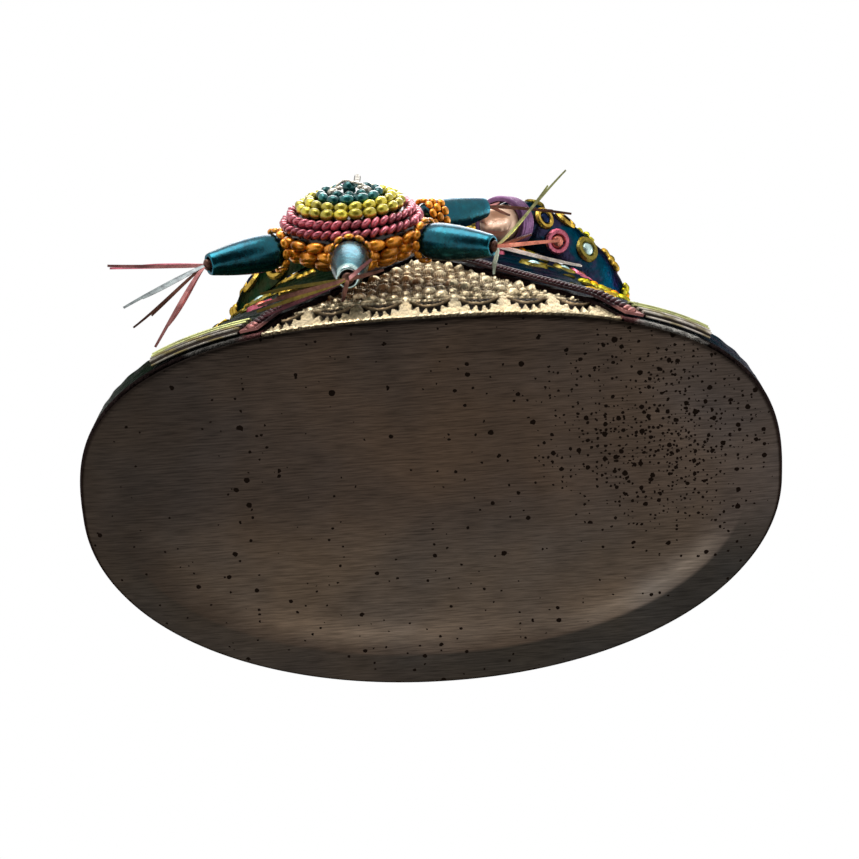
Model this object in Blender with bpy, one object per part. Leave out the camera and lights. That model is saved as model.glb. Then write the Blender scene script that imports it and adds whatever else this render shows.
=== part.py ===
# Santa ornament: a standing figure of thin pressed metal that holds a swinging star pinata.
# Metres, +Z up, front towards -Y, origin at the middle of the base underside.

import math

import bmesh
import bpy
from mathutils import Vector

MM = 0.001

# Fits that every piece shares.
CLEARANCE = 0.3 * MM
WELD = 0.002 * MM
SHARP_ANGLE = math.radians(38)

# Robe, measured on its outer face at the hem and at the shoulders.
ROBE_HALF_WIDTH = 34.2 * MM
ROBE_FRONT = 18.6 * MM
ROBE_BACK = 20.0 * MM
TOP_HALF_WIDTH = 16.4 * MM
TOP_FRONT = 9.8 * MM
TOP_BACK = 10.0 * MM
HEM_HEIGHT = 6.0 * MM
BODY_HEIGHT = 72.0 * MM
TAPER_POWER = 0.87
FRONT_POWER = 2.7
TOP_POWER = 2.0
POWER_FADE = 5
BACK_POWER = 2.05
ROBE_WALL = 0.6 * MM
ROBE_TUCK = 2.0 * MM

# Base plate.
PLATE_THICKNESS = 0.8 * MM
PLATE_INSET = 0.3 * MM
PLATE_BEVEL = 0.25 * MM
PLATE_SIDES = 64

# Coat, trim and hem bands, each a layer over the last.
COAT_WALL = 0.5 * MM
TRIM_WALL = 0.5 * MM
TRIM_WIDTH = 1.7 * MM
OPENING_HALF = 18.0 * MM
OPENING_SHIFT = 2.1 * MM
OPENING_SLOPE = 0.5
BAND_HEIGHT = 4.0 * MM
LEFT_BAND_REACH = 7.4 * MM
RIGHT_BAND_REACH = 10.0 * MM

# Shoulders and neck.
YOKE_HEIGHT = 6.5 * MM
NECK_RADIUS = 5.4 * MM
NECK_BACK = 1.5 * MM
BODY_SIDES = 32

# Arms. Sideways values count outwards from the middle of the body.
SHOULDER_DROP = 1.0 * MM
SLEEVE_SIDES = 14
SLEEVE_STEPS = 9
SHOULDER_INSET = 2.5 * MM
ELBOW_OUT = 4.5 * MM
ELBOW_FORWARD = 0.5 * MM
ELBOW_RISE = 3.0 * MM
LEFT_AIM = Vector((-0.45, -0.25, -0.85)).normalized()
RIGHT_AIM = Vector((-0.30, -0.60, -0.74)).normalized()
FOREARM_LENGTH = 7.0 * MM
SLEEVE_RADIUS = 4.2 * MM
SLEEVE_MOUTH = 2.7 * MM
SLEEVE_LIP = 0.8 * MM
CUFF_LENGTH = 3.2 * MM
CUFF_WALL = 0.6 * MM
CUFF_SIDES = 18
HAND_RADIUS = 2.15 * MM
LEFT_HAND_X = 9.4 * MM
LEFT_HAND_LOW = 39.5 * MM
LEFT_STANDOFF = 0.404354 * MM
LEFT_HAND_RISE = Vector((0.5, 1.4, 5.5)) * MM
RIGHT_HAND_RISE = Vector((0.6, 2.2, 7.0)) * MM
THUMB_RADIUS = 0.75 * MM
HAND_SHAPE = (0.78, 0.78, 0.8, 0.88, 0.98, 1.0, 0.94, 0.74, 0.35)
THUMB_SHAPE = (1.0, 1.0, 1.0, 0.95, 0.5)
HAND_SIDES = 12
THUMB_SIDES = 8

# Head, hair and hat.
HEAD_RADIUS = 7.0 * MM
HEAD_HALF_HEIGHT = 8.6 * MM
CHIN_DROP = 7.4 * MM
CROWN_RISE = 7.0 * MM
HEAD_SET_BACK = 0.5 * MM
HEAD_SIDES = 20
NOSE_RADIUS = 1.35 * MM
NOSE_RISE = 1.2 * MM
HAIR_WALL = 1.5 * MM
HAIR_DROP = 6.2 * MM
HAIR_EDGE = math.radians(8)
BEARD_HALF_WIDTH = 8.6 * MM
BEARD_LENGTH = 27.0 * MM
BEARD_FRONT = 9.2 * MM
BEARD_LEAN = 5.6 * MM
BEARD_BACK = 0.5 * MM
BEARD_DROP = 1.0 * MM
BEARD_SIDES = 24
MOUSTACHE_REACH = 5.2 * MM
MOUSTACHE_RADIUS = 1.35 * MM
MOUSTACHE_PROUD = 1.4 * MM
MOUSTACHE_DROP = 2.6 * MM
MOUSTACHE_WRAP = 1.6 * MM
MOUSTACHE_SAG = 1.8 * MM
BAND_RADIAL = 1.2 * MM
BAND_HALF_HEIGHT = 2.1 * MM
HAT_RADIUS = 6.3 * MM
HAT_HEIGHT = 14.0 * MM
HAT_LEAN = 1.5 * MM
HAT_TIP_SHARE = 0.22
HAT_FLARE = 0.9
HAT_SIDES = 24
POMPOM_RADIUS = 2.3 * MM
POLE_SHARE = 0.06

# Wire fittings.
WIRE_RADIUS = 0.4 * MM
LINK_RADIUS = 2.0 * MM
STAPLE_RADIUS = 1.5 * MM
STAPLE_LEG = 2.8 * MM
STAPLE_BURIED = 2.2 * MM
EYE_SHANK = 1.2 * MM
EYE_FOOT_RADIUS = 1.1 * MM
EYE_FOOT = 0.5 * MM
HANGER_RADIUS = 3.6 * MM
WIRE_SIDES = 6
LINK_STEPS = 16

# Pinata: a flattened ball of bead rows with cones round its rim.
PINATA_X = -6.7 * MM
PINATA_Z = 21.0 * MM
PINATA_STANDOFF = 0.5 * MM
BALL_RADIUS = 8.2 * MM
FRONT_DEPTH = 5.4 * MM
REAR_DEPTH = 3.4 * MM
SHELL_WALL = 0.9 * MM
BEAD_RADIUS = 0.6 * MM
BEAD_BULGE = 0.25 * MM
BEAD_WAIST = 0.74
BALL_BEADS = 22
PINK_BEADS = 24
YELLOW_BEADS = 18
TEAL_BEADS = 13
CENTRE_BEADS = 8
CONE_ANGLES = (0, 60, 120, 300)
CONE_LENGTH = 8.0 * MM
CONE_RADIUS = 1.95 * MM
CONE_FOOT_RADIUS = 1.68 * MM
CONE_TIP_RADIUS = 1.1 * MM
CONE_SIDES = 12
BORE_RADIUS = 0.75 * MM
BORE_DEPTH = 2.4 * MM
COLLAR_RADIUS = 0.42 * MM
COLLAR_BEADS = 9

# Foil tassels by the angle of the cone: splay of the strips, splay of those at the back, and
# lengths round the six sides of the knot, nought where a side is bare.
FOIL_WIDTH = 0.9 * MM
FOIL_THICKNESS = 0.25 * MM
FOILS = {
    0: (80, 80, (10.5, 2.4, 0.0, 4.5, 0.0, 0.0)),
    60: (24, 10, (5.0, 7.0, 9.5, 9.0, 4.5, 0.0)),
    120: (24, 10, (5.0, 3.5, 3.5, 5.0, 0.0, 8.5)),
    300: (20, 12, (10.5, 9.0, 9.5, 10.5, 0.0, 0.0)),
}
FOIL_BEND = 1.2 * MM
FOIL_SAG = 0.5
LOW_FOIL_LEAN = 0.4
FOIL_STEPS = 6

# Layers counted outwards from the robe face.
COAT_INNER = CLEARANCE
COAT_OUTER = COAT_INNER + COAT_WALL
TRIM_INNER = COAT_OUTER + CLEARANCE
TRIM_OUTER = TRIM_INNER + TRIM_WALL
SHELL_Z = PLATE_THICKNESS + CLEARANCE

# Heights and depths that follow from the sizes above.
YOKE_Z = BODY_HEIGHT + CLEARANCE
YOKE_TOP = YOKE_Z + YOKE_HEIGHT
HEAD_Z = YOKE_TOP + CLEARANCE + CHIN_DROP
HEAD_TOP = HEAD_Z + CROWN_RISE
HEAD_Y = NECK_BACK + HEAD_SET_BACK
HAT_Z = HEAD_TOP + CLEARANCE
HAT_TOP = HAT_Z + HAT_HEIGHT
RIM_RADIUS = BALL_RADIUS + BEAD_BULGE
PINATA_Y = -(ROBE_FRONT + PINATA_STANDOFF + REAR_DEPTH)
LINK_PITCH = 2 * WIRE_RADIUS + CLEARANCE
EYE_LOW_Z = PINATA_Z + RIM_RADIUS + CLEARANCE
EYE_CENTRE_Z = EYE_LOW_Z + EYE_FOOT + EYE_SHANK + LINK_RADIUS
SWING_Z = EYE_CENTRE_Z + LINK_RADIUS - LINK_PITCH
SWAY_Z = SWING_Z + 2 * LINK_RADIUS - LINK_PITCH
RIGHT_HAND_LOW = SWAY_Z + STAPLE_LEG

LOOKS = {
    "gunmetal": ((0.05, 0.04, 0.03), 0.9, 0.4),
    "pewter": ((0.42, 0.34, 0.24), 0.9, 0.35),
    "teal": ((0.02, 0.14, 0.15), 0.8, 0.3),
    "green": ((0.03, 0.10, 0.04), 0.8, 0.3),
    "pink": ((0.55, 0.25, 0.22), 0.7, 0.35),
    "yellow": ((0.40, 0.36, 0.08), 0.8, 0.35),
    "orange": ((0.45, 0.17, 0.03), 0.8, 0.35),
    "purple": ((0.15, 0.10, 0.14), 0.8, 0.35),
    "skin": ((0.60, 0.36, 0.26), 0.0, 0.45),
    "white": ((0.75, 0.72, 0.66), 0.1, 0.5),
    "red": ((0.35, 0.03, 0.03), 0.7, 0.35),
    "silver": ((0.60, 0.58, 0.54), 1.0, 0.25),
    "foil": ((0.50, 0.34, 0.26), 0.9, 0.25),
}


def clear_scene():
    for old in list(bpy.data.objects):
        bpy.data.objects.remove(old, do_unlink=True)


def look(name):
    found = bpy.data.materials.get(name)
    if found:
        return found
    colour, metallic, roughness = LOOKS[name]
    made = bpy.data.materials.new(name)
    made.use_nodes = True
    shader = made.node_tree.nodes["Principled BSDF"]
    shader.inputs["Base Color"].default_value = (*colour, 1)
    shader.inputs["Metallic"].default_value = metallic
    shader.inputs["Roughness"].default_value = roughness
    return made


def place(name, bm, finish, parent=None):
    """Turns a bmesh into a named, shaded object."""
    bmesh.ops.remove_doubles(bm, verts=bm.verts, dist=WELD)
    bmesh.ops.recalc_face_normals(bm, faces=bm.faces)
    mesh = bpy.data.meshes.new(name)
    bm.to_mesh(mesh)
    bm.free()
    mesh.shade_smooth()
    mesh.set_sharp_from_angle(angle=SHARP_ANGLE)
    mesh.materials.append(look(finish))
    obj = bpy.data.objects.new(name, mesh)
    obj.parent = parent
    bpy.context.scene.collection.objects.link(obj)
    return obj


def tool(name, bm):
    """A hidden solid that only shapes other pieces."""
    obj = place(name, bm, "pewter")
    obj.hide_render = True
    obj.display_type = "WIRE"
    return obj


def combine(obj, other, operation):
    step = obj.modifiers.new(other.name, "BOOLEAN")
    step.object = other
    step.operation = operation
    step.solver = "EXACT"


def axis_empty(name, location, parent=None):
    empty = bpy.data.objects.new(name, None)
    empty.location = location
    empty.parent = parent
    bpy.context.scene.collection.objects.link(empty)
    return empty


def add_rows(bm, rings):
    return [[bm.verts.new(point) for point in ring] for ring in rings]


def bridge(bm, low, high):
    count = len(low)
    for i in range(count):
        j = (i + 1) % count
        bm.faces.new((low[i], low[j], high[j], high[i]))


def loft(rings):
    """A solid skinned over closed rings, with both ends capped."""
    bm = bmesh.new()
    rows = add_rows(bm, rings)
    for low, high in zip(rows, rows[1:]):
        bridge(bm, low, high)
    bm.faces.new(reversed(rows[0]))
    bm.faces.new(rows[-1])
    return bm


def hoop(rings):
    """A solid skinned over sections that run round and meet themselves."""
    bm = bmesh.new()
    rows = add_rows(bm, rings)
    for low, high in zip(rows, rows[1:] + rows[:1]):
        bridge(bm, low, high)
    return bm


def thick_patch(outer, inner):
    """A closed sheet between two grids of points of the same shape."""
    bm = bmesh.new()
    front = add_rows(bm, outer)
    back = add_rows(bm, inner)
    last = len(front[0]) - 1
    for i in range(len(front) - 1):
        for j in range(last):
            bm.faces.new((front[i][j], front[i][j + 1], front[i + 1][j + 1], front[i + 1][j]))
            bm.faces.new((back[i][j], back[i + 1][j], back[i + 1][j + 1], back[i][j + 1]))
        for j in (0, last):
            bm.faces.new((front[i][j], front[i + 1][j], back[i + 1][j], back[i][j]))
    for i in (0, len(front) - 1):
        for j in range(last):
            bm.faces.new((front[i][j], back[i][j], back[i][j + 1], front[i][j + 1]))
    return bm


def tube(points, radii, sides, reference):
    """Round sections along a path, square to it and free of twist."""
    rings = []
    side = reference
    for i, point in enumerate(points):
        ahead = (points[min(i + 1, len(points) - 1)] - points[max(i - 1, 0)]).normalized()
        side = (side - ahead * side.dot(ahead)).normalized()
        up = ahead.cross(side)
        rings.append([
            point + radii[i] * (math.cos(turn) * side + math.sin(turn) * up)
            for turn in turns(sides)
        ])
    return rings


def turns(count):
    return [2 * math.pi * i / count for i in range(count)]


def steps(count):
    return [i / count for i in range(count + 1)]


def bezier(controls, count):
    """Points along the smooth curve that a chain of control points pulls into shape."""
    points = []
    for t in steps(count):
        chain = controls
        while len(chain) > 1:
            chain = [a.lerp(b, t) for a, b in zip(chain, chain[1:])]
        points.append(chain[0])
    return points


def circle(radius, z, sides, centre_x=0.0, centre_y=0.0):
    """A level ring whose first side lies square to +X."""
    half = math.pi / sides
    return [
        Vector((centre_x + radius * math.cos(t - half), centre_y + radius * math.sin(t - half), z))
        for t in turns(sides)
    ]


def oval_point(phi, half_width, front, back, z, power=FRONT_POWER):
    """A point on a rounded oval; phi is 0 at the front and a quarter turn at +X."""
    ahead = math.cos(phi) > 0
    if not ahead:
        power = BACK_POWER
    across = math.sin(phi)
    along = math.cos(phi)
    reach = (abs(across) ** power + abs(along) ** power) ** (-1 / power)
    return Vector((half_width * across * reach, -(front if ahead else back) * along * reach, z))


def robe_rise(z):
    return min(max((z - HEM_HEIGHT) / (BODY_HEIGHT - HEM_HEIGHT), 0.0), 1.0)


def robe_section(z, offset):
    """Half width, front and back of the robe at a height, plus a layer offset."""
    share = (1 - robe_rise(z)) ** TAPER_POWER
    return (
        TOP_HALF_WIDTH + (ROBE_HALF_WIDTH - TOP_HALF_WIDTH) * share + offset,
        TOP_FRONT + (ROBE_FRONT - TOP_FRONT) * share + offset,
        TOP_BACK + (ROBE_BACK - TOP_BACK) * share + offset,
    )


def robe_power(z):
    """How square the front is: most at the hem, an even oval higher up."""
    return TOP_POWER + (FRONT_POWER - TOP_POWER) * (1 - robe_rise(z)) ** POWER_FADE


def robe_point(phi, z, offset):
    return oval_point(phi, *robe_section(z, offset), z, robe_power(z))


def front_angle(x, z):
    """Angle at which the coat layer crosses a given x on the front."""
    share = max(min(x / robe_section(z, COAT_OUTER)[0], 1.0), -1.0)
    power = robe_power(z)
    return math.atan2(share, (1 - abs(share) ** power) ** (1 / power))


def coat_edge(z, side):
    """Where the front edge of the coat lies across the body; side is +1 for the left."""
    half = max(OPENING_HALF - OPENING_SLOPE * z, CLEARANCE / 2)
    return OPENING_SHIFT * half / OPENING_HALF + side * half


def seam_angle(depth):
    """Angle of a side seam, half a clearance off the widest line of the body."""
    return math.pi / 2 - CLEARANCE / 2 / depth


def body_patch(low, high, rows, columns, span, inner, outer):
    """A curved sheet on the body between two heights; span gives both edge angles at a height."""
    heights = [low + (high - low) * t for t in steps(rows)]
    grids = []
    for offset in (outer, inner):
        grid = []
        for z in heights:
            start, end = span(z)
            grid.append([robe_point(start + (end - start) * t, z, offset) for t in steps(columns)])
        grids.append(grid)
    return thick_patch(*grids)


def make_base_plate():
    half_width = ROBE_HALF_WIDTH + COAT_OUTER - PLATE_INSET
    front = ROBE_FRONT + COAT_OUTER - PLATE_INSET
    back = ROBE_BACK + COAT_OUTER - PLATE_INSET
    levels = (
        (0.0, PLATE_BEVEL),
        (PLATE_BEVEL, 0.0),
        (PLATE_THICKNESS - PLATE_BEVEL, 0.0),
        (PLATE_THICKNESS, PLATE_BEVEL),
    )
    rings = [
        [oval_point(t, half_width - inset, front - inset, back - inset, z) for t in turns(PLATE_SIDES)]
        for z, inset in levels
    ]
    place("base_plate", loft(rings), "gunmetal")


def make_robe_front():
    top = OPENING_HALF / OPENING_SLOPE + ROBE_TUCK

    def span(z):
        right = front_angle(coat_edge(z, -1) - ROBE_TUCK, z)
        left = front_angle(coat_edge(z, 1) + ROBE_TUCK, z)
        return right, left

    sheet = body_patch(SHELL_Z, top, 10, 12, span, -ROBE_WALL, 0.0)
    place("robe_front", sheet, "pewter")


def make_coat_front(name, side):
    def span(z):
        return front_angle(coat_edge(z, side), z), side * seam_angle(robe_section(z, COAT_OUTER)[1])

    sheet = body_patch(SHELL_Z, BODY_HEIGHT, 12, 12, span, COAT_INNER, COAT_OUTER)
    place("coat_front_" + name, sheet, "teal" if side > 0 else "green")


def make_coat_back():
    def span(z):
        seam = seam_angle(robe_section(z, COAT_OUTER)[2])
        return math.pi - seam, math.pi + seam

    sheet = body_patch(SHELL_Z, BODY_HEIGHT, 12, 22, span, COAT_INNER, COAT_OUTER)
    place("coat_back", sheet, "teal")


def make_edge_trim(name, side):
    top = (OPENING_HALF - TRIM_WIDTH) / OPENING_SLOPE

    def span(z):
        edge = coat_edge(z, side)
        return front_angle(edge, z), front_angle(edge + side * TRIM_WIDTH, z)

    sheet = body_patch(SHELL_Z, top, 12, 2, span, TRIM_INNER, TRIM_OUTER)
    place("edge_trim_" + name, sheet, "pink")


def make_hem_band(name, side):
    def span(z):
        near = coat_edge(z, side) + side * (TRIM_WIDTH + CLEARANCE)
        far = coat_edge(0.0, side) + side * (LEFT_BAND_REACH if side > 0 else RIGHT_BAND_REACH)
        return front_angle(near, z), front_angle(far, z)

    sheet = body_patch(SHELL_Z, BAND_HEIGHT, 3, 7, span, TRIM_INNER, TRIM_OUTER)
    place("hem_band_" + name, sheet, "yellow")


def yoke_rings(grow):
    """Shoulder rings from the coat top up to the neck."""
    wide, front, back = robe_section(BODY_HEIGHT, COAT_OUTER)
    rings = []
    for t in steps(5):
        swing = t * math.pi / 2
        share = math.cos(swing)
        z = YOKE_Z + YOKE_HEIGHT * math.sin(swing)
        shift = Vector((0, NECK_BACK * (1 - share), 0))
        sizes = [NECK_RADIUS + (size - NECK_RADIUS) * share + grow for size in (wide, front, back)]
        rings.append([oval_point(turn, *sizes, z + grow * t, TOP_POWER) + shift for turn in turns(BODY_SIDES)])
    return rings


def make_shoulder_yoke():
    place("shoulder_yoke", loft(yoke_rings(0.0)), "teal")


def figure_space():
    """The body with clearance all round, cut out of what lies on it."""
    levels = [BODY_HEIGHT * t for t in steps(12)]
    rings = [[robe_point(t, z, COAT_OUTER + CLEARANCE) for t in turns(BODY_SIDES)] for z in levels]
    return tool("figure_space", loft(rings + yoke_rings(CLEARANCE)))


def outward(vector, side):
    return Vector((side * vector.x, vector.y, vector.z))


def forearm_aim(side):
    return outward(LEFT_AIM if side > 0 else RIGHT_AIM, side)


def coat_face(point):
    """How far forward the coat lies behind a point of the arm."""
    return robe_point(front_angle(point.x, point.z), point.z, COAT_OUTER).y


def hand_low(side):
    """Lowest point of the middle line of the hand."""
    if side < 0:
        return Vector((PINATA_X, PINATA_Y + STAPLE_RADIUS / 2, RIGHT_HAND_LOW))
    low = Vector((LEFT_HAND_X, 0, LEFT_HAND_LOW))
    mouth = low + LEFT_HAND_RISE
    cuff = (mouth, mouth - LEFT_AIM * CUFF_LENGTH)
    low.y = min(coat_face(end) - end.y for end in cuff) - LEFT_STANDOFF - SLEEVE_MOUTH
    return low


def cuff_ends(side):
    """Middle of the sleeve end and of the mouth of the cuff."""
    rise = LEFT_HAND_RISE if side > 0 else RIGHT_HAND_RISE
    mouth = hand_low(side) + outward(rise, side)
    return mouth - forearm_aim(side) * CUFF_LENGTH, mouth


def sleeve_path(side):
    top = BODY_HEIGHT - SHOULDER_DROP
    bend = hand_low(side).z + ELBOW_RISE
    shoulder = Vector((robe_section(top, COAT_OUTER)[0] - SHOULDER_INSET, 0, top))
    elbow = Vector((robe_section(bend, COAT_OUTER)[0] + ELBOW_OUT, -ELBOW_FORWARD, bend))
    wrist = cuff_ends(side)[0] - forearm_aim(side) * (CLEARANCE + SLEEVE_LIP)
    return outward(shoulder, side), outward(elbow, side), wrist - forearm_aim(side) * FOREARM_LENGTH, wrist


def make_sleeve(name, side, space):
    points = bezier(sleeve_path(side), SLEEVE_STEPS)
    points.append(points[-1] + forearm_aim(side) * SLEEVE_LIP)
    radii = [SLEEVE_RADIUS + (SLEEVE_MOUTH - SLEEVE_RADIUS) * t ** 3 for t in steps(SLEEVE_STEPS)]
    radii.append(SLEEVE_MOUTH)
    sleeve = place("sleeve_" + name, loft(tube(points, radii, SLEEVE_SIDES, Vector((0, 1, 0)))), "teal")
    combine(sleeve, space, "DIFFERENCE")


def make_cuff(name, side, space):
    start, end = cuff_ends(side)
    inner = SLEEVE_MOUTH
    outer = inner + CUFF_WALL
    reference = Vector((0, 1, 0))
    mouth = tube([start, end], [outer, outer], CUFF_SIDES, reference)
    bore = tube([start, end], [inner, inner], CUFF_SIDES, reference)
    bm = hoop([mouth[0], mouth[1], bore[1], bore[0]])
    cuff = place("cuff_" + name, bm, "purple")
    combine(cuff, space, "DIFFERENCE")


def hand_path(side):
    start, mouth = cuff_ends(side)
    return start.lerp(mouth, 0.2), mouth + forearm_aim(side) * HAND_RADIUS, hand_low(side)


def make_hand(name, side, space):
    points = bezier(hand_path(side), len(HAND_SHAPE) - 1)
    radii = [HAND_RADIUS * share for share in HAND_SHAPE]
    palm = Vector((0, 1, 0.2))
    hand = place("hand_" + name, loft(tube(points, radii, HAND_SIDES, palm)), "skin")
    knuckle = points[4]
    tip = points[7]
    spread = Vector((-side * HAND_RADIUS, -HAND_RADIUS / 2, 0))
    bend = (knuckle, knuckle.lerp(tip, 0.4) + spread, tip + spread * 0.75)
    thumb_points = bezier(bend, len(THUMB_SHAPE) - 1)
    thumb_radii = [THUMB_RADIUS * share for share in THUMB_SHAPE]
    thumb = tool("thumb_" + name, loft(tube(thumb_points, thumb_radii, THUMB_SIDES, palm)))
    combine(hand, thumb, "UNION")
    combine(hand, space, "DIFFERENCE")
    return hand


def staple_rings(radius, extra):
    """A wire bow below the hand, its lowest wire running front to back."""
    low = Vector((PINATA_X, PINATA_Y, SWAY_Z))
    centre = low + Vector((0, 0, STAPLE_RADIUS))
    top = RIGHT_HAND_LOW + STAPLE_BURIED + extra
    points = [Vector((low.x, low.y - STAPLE_RADIUS, top))]
    for t in steps(8):
        angle = math.pi * t
        points.append(centre - STAPLE_RADIUS * Vector((0, math.cos(angle), math.sin(angle))))
    points.append(Vector((low.x, low.y + STAPLE_RADIUS, top)))
    return tube(points, [radius] * len(points), WIRE_SIDES, Vector((1, 0, 0)))


def make_hand_staple(hand):
    place("hand_staple", loft(staple_rings(WIRE_RADIUS, 0.0)), "silver")
    socket = tool("staple_socket", loft(staple_rings(WIRE_RADIUS + CLEARANCE, CLEARANCE)))
    combine(hand, socket, "DIFFERENCE")


def link_rings(radius, across, centre):
    """Round wire sections of a ring that stands upright across the given direction."""
    rings = []
    for turn in turns(LINK_STEPS):
        out = across * math.cos(turn) + Vector((0, 0, 1)) * math.sin(turn)
        flat = across.cross(Vector((0, 0, 1)))
        rings.append([
            centre + out * (radius + WIRE_RADIUS * math.cos(a)) + flat * WIRE_RADIUS * math.sin(a)
            for a in turns(WIRE_SIDES)
        ])
    return rings


def make_jump_ring(parent):
    drop = LINK_RADIUS - LINK_PITCH
    rings = link_rings(LINK_RADIUS, Vector((1, 0, 0)), Vector((0, 0, -drop)))
    place("jump_ring", hoop(rings), "silver", parent)


def make_eye(name, radius, across, low, parent=None):
    """A wire ring on a short shank with a round foot."""
    centre = low + Vector((0, 0, EYE_FOOT + EYE_SHANK + radius))
    eye = place(name, hoop(link_rings(radius, across, centre)), "silver", parent)
    levels = (
        (EYE_FOOT_RADIUS, 0.0),
        (EYE_FOOT_RADIUS, EYE_FOOT),
        (WIRE_RADIUS, EYE_FOOT),
        (WIRE_RADIUS, EYE_FOOT + EYE_SHANK),
    )
    rings = [circle(r, low.z + z, 12, low.x, low.y) for r, z in levels]
    shank = tool(name + "_shank", loft(rings))
    shank.parent = parent
    combine(eye, shank, "UNION")


def head_radius(z, grow):
    share = min(abs(z - HEAD_Z) / HEAD_HALF_HEIGHT, 0.999)
    return HEAD_RADIUS * math.sqrt(1 - share ** 2) + grow


def head_rings(grow, low, high):
    heights = [low + (high - low) * t for t in steps(9)]
    return [circle(head_radius(z, grow), z, HEAD_SIDES, 0.0, HEAD_Y) for z in heights]


def ball_rings(centre, radius, sides, levels):
    rings = []
    for t in steps(levels):
        angle = math.pi * (POLE_SHARE + (1 - 2 * POLE_SHARE) * t) - math.pi / 2
        ring = circle(radius * math.cos(angle), centre.z + radius * math.sin(angle), sides, centre.x, centre.y)
        rings.append(ring)
    return rings


def make_head():
    head = place("head", loft(head_rings(0.0, HEAD_Z - CHIN_DROP, HEAD_TOP)), "skin")
    centre = Vector((0, HEAD_Y - HEAD_RADIUS, HEAD_Z + NOSE_RISE))
    nose = tool("nose", loft(ball_rings(centre, NOSE_RADIUS, 12, 6)))
    combine(head, nose, "UNION")
    space = loft(head_rings(CLEARANCE, HEAD_Z - CHIN_DROP - CLEARANCE, HEAD_TOP + CLEARANCE))
    return tool("head_space", space)


def moustache_rings(radius):
    """Two tapering locks in one sweep from side to side."""
    mid = Vector((0, HEAD_Y - HEAD_RADIUS - MOUSTACHE_PROUD, HEAD_Z - MOUSTACHE_DROP))
    points = []
    radii = []
    for t in steps(10):
        out = 2 * t - 1
        sag = Vector((out * MOUSTACHE_REACH, MOUSTACHE_WRAP * out ** 2, -MOUSTACHE_SAG * out ** 2))
        points.append(mid + sag)
        radii.append(radius * (0.85 + 0.5 * abs(out)) * (1.04 - abs(out) ** 3 * 0.72))
    return tube(points, radii, 8, Vector((0, 0, 1)))


def make_moustache(head_space):
    moustache = place("moustache", loft(moustache_rings(MOUSTACHE_RADIUS)), "white")
    combine(moustache, head_space, "DIFFERENCE")
    return tool("moustache_space", loft(moustache_rings(MOUSTACHE_RADIUS + CLEARANCE)))


def make_beard(spaces):
    """A full beard that widens below the cheeks and runs out to a soft point."""
    top = HEAD_Z - BEARD_DROP
    shape = ((0.90, 0.66, 0.0), (1.0, 0.84, 0.1), (1.0, 0.95, 0.24), (0.92, 1.0, 0.40),
             (0.78, 1.04, 0.56), (0.60, 1.06, 0.72), (0.40, 1.07, 0.86), (0.16, 1.04, 1.0))
    rings = []
    for wide, deep, down in shape:
        half = BEARD_HALF_WIDTH * wide
        front = BEARD_FRONT * deep + HEAD_Y
        z = top - BEARD_LENGTH * down
        lean = Vector((0, HEAD_Y - BEARD_LEAN * down, 0))
        rings.append([oval_point(t, half, front, BEARD_BACK, z) + lean for t in turns(BEARD_SIDES)])
    beard = place("beard", loft(rings), "white")
    for space in spaces:
        combine(beard, space, "DIFFERENCE")
    return beard


def make_hair_back():
    low = HEAD_Z - HAIR_DROP
    high = HEAD_TOP - 2 * BAND_HALF_HEIGHT - CLEARANCE
    grids = []
    for grow in (CLEARANCE + HAIR_WALL, CLEARANCE):
        grid = []
        for t in steps(6):
            z = low + (high - low) * t
            radius = head_radius(z, grow)
            angles = [HAIR_EDGE + (math.pi - 2 * HAIR_EDGE) * s for s in steps(12)]
            row = [Vector((radius * math.cos(a), HEAD_Y + radius * math.sin(a), z)) for a in angles]
            grid.append(row)
        grids.append(grid)
    place("hair_back", thick_patch(*grids), "white")


def make_hat():
    middle = HEAD_TOP - BAND_HALF_HEIGHT
    radius = HAT_RADIUS + CLEARANCE + BAND_RADIAL
    sections = []
    for turn in turns(HAT_SIDES):
        section = []
        for a in turns(8):
            reach = radius + BAND_RADIAL * math.cos(a)
            z = middle + BAND_HALF_HEIGHT * math.sin(a)
            section.append(Vector((reach * math.cos(turn), HEAD_Y + reach * math.sin(turn), z)))
        sections.append(section)
    place("hat_band", hoop(sections), "white")
    rings = []
    for t in steps(7):
        wide = HAT_RADIUS * (1 - (1 - HAT_TIP_SHARE) * t ** HAT_FLARE)
        rings.append(circle(wide, HAT_Z + HAT_HEIGHT * t, HAT_SIDES, 0.0, HEAD_Y + HAT_LEAN * t ** 2))
    place("hat_crown", loft(rings), "red")


def make_hat_top():
    centre_y = HEAD_Y + HAT_LEAN
    centre = Vector((0, centre_y, HAT_TOP + CLEARANCE + POMPOM_RADIUS * math.cos(math.pi * POLE_SHARE)))
    place("hat_pompom", loft(ball_rings(centre, POMPOM_RADIUS, 12, 8)), "pewter")
    low = Vector((0, centre_y, centre.z + POMPOM_RADIUS + CLEARANCE))
    make_eye("hanger_loop", HANGER_RADIUS, Vector((1, 0, 0)), low)


def dome_angle(arc, depth):
    """Angle on the side outline of the ball at a length of arc from the rim."""
    angle = 0.0
    length = 0.0
    small = math.radians(0.25)
    while length < arc and angle < math.pi / 2:
        length += small * math.hypot(BALL_RADIUS * math.sin(angle), depth * math.cos(angle))
        angle += small
    return angle


def dome_spot(arc, depth, inset):
    """Radius and height of a point on the ball, a given arc from the rim and depth below its face."""
    angle = dome_angle(arc, depth)
    return (BALL_RADIUS - inset) * math.cos(angle), (depth - inset) * math.sin(angle)


def bead_ring(radius, height, beads, bulge, shift):
    """A ring of points that swells at every bead."""
    ring = []
    for i, turn in enumerate(turns(2 * beads)):
        reach = radius + (bulge if (i + shift) % 2 == 0 else 0.0)
        ring.append(Vector((reach * math.cos(turn), -height, reach * math.sin(turn))))
    return ring


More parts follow.
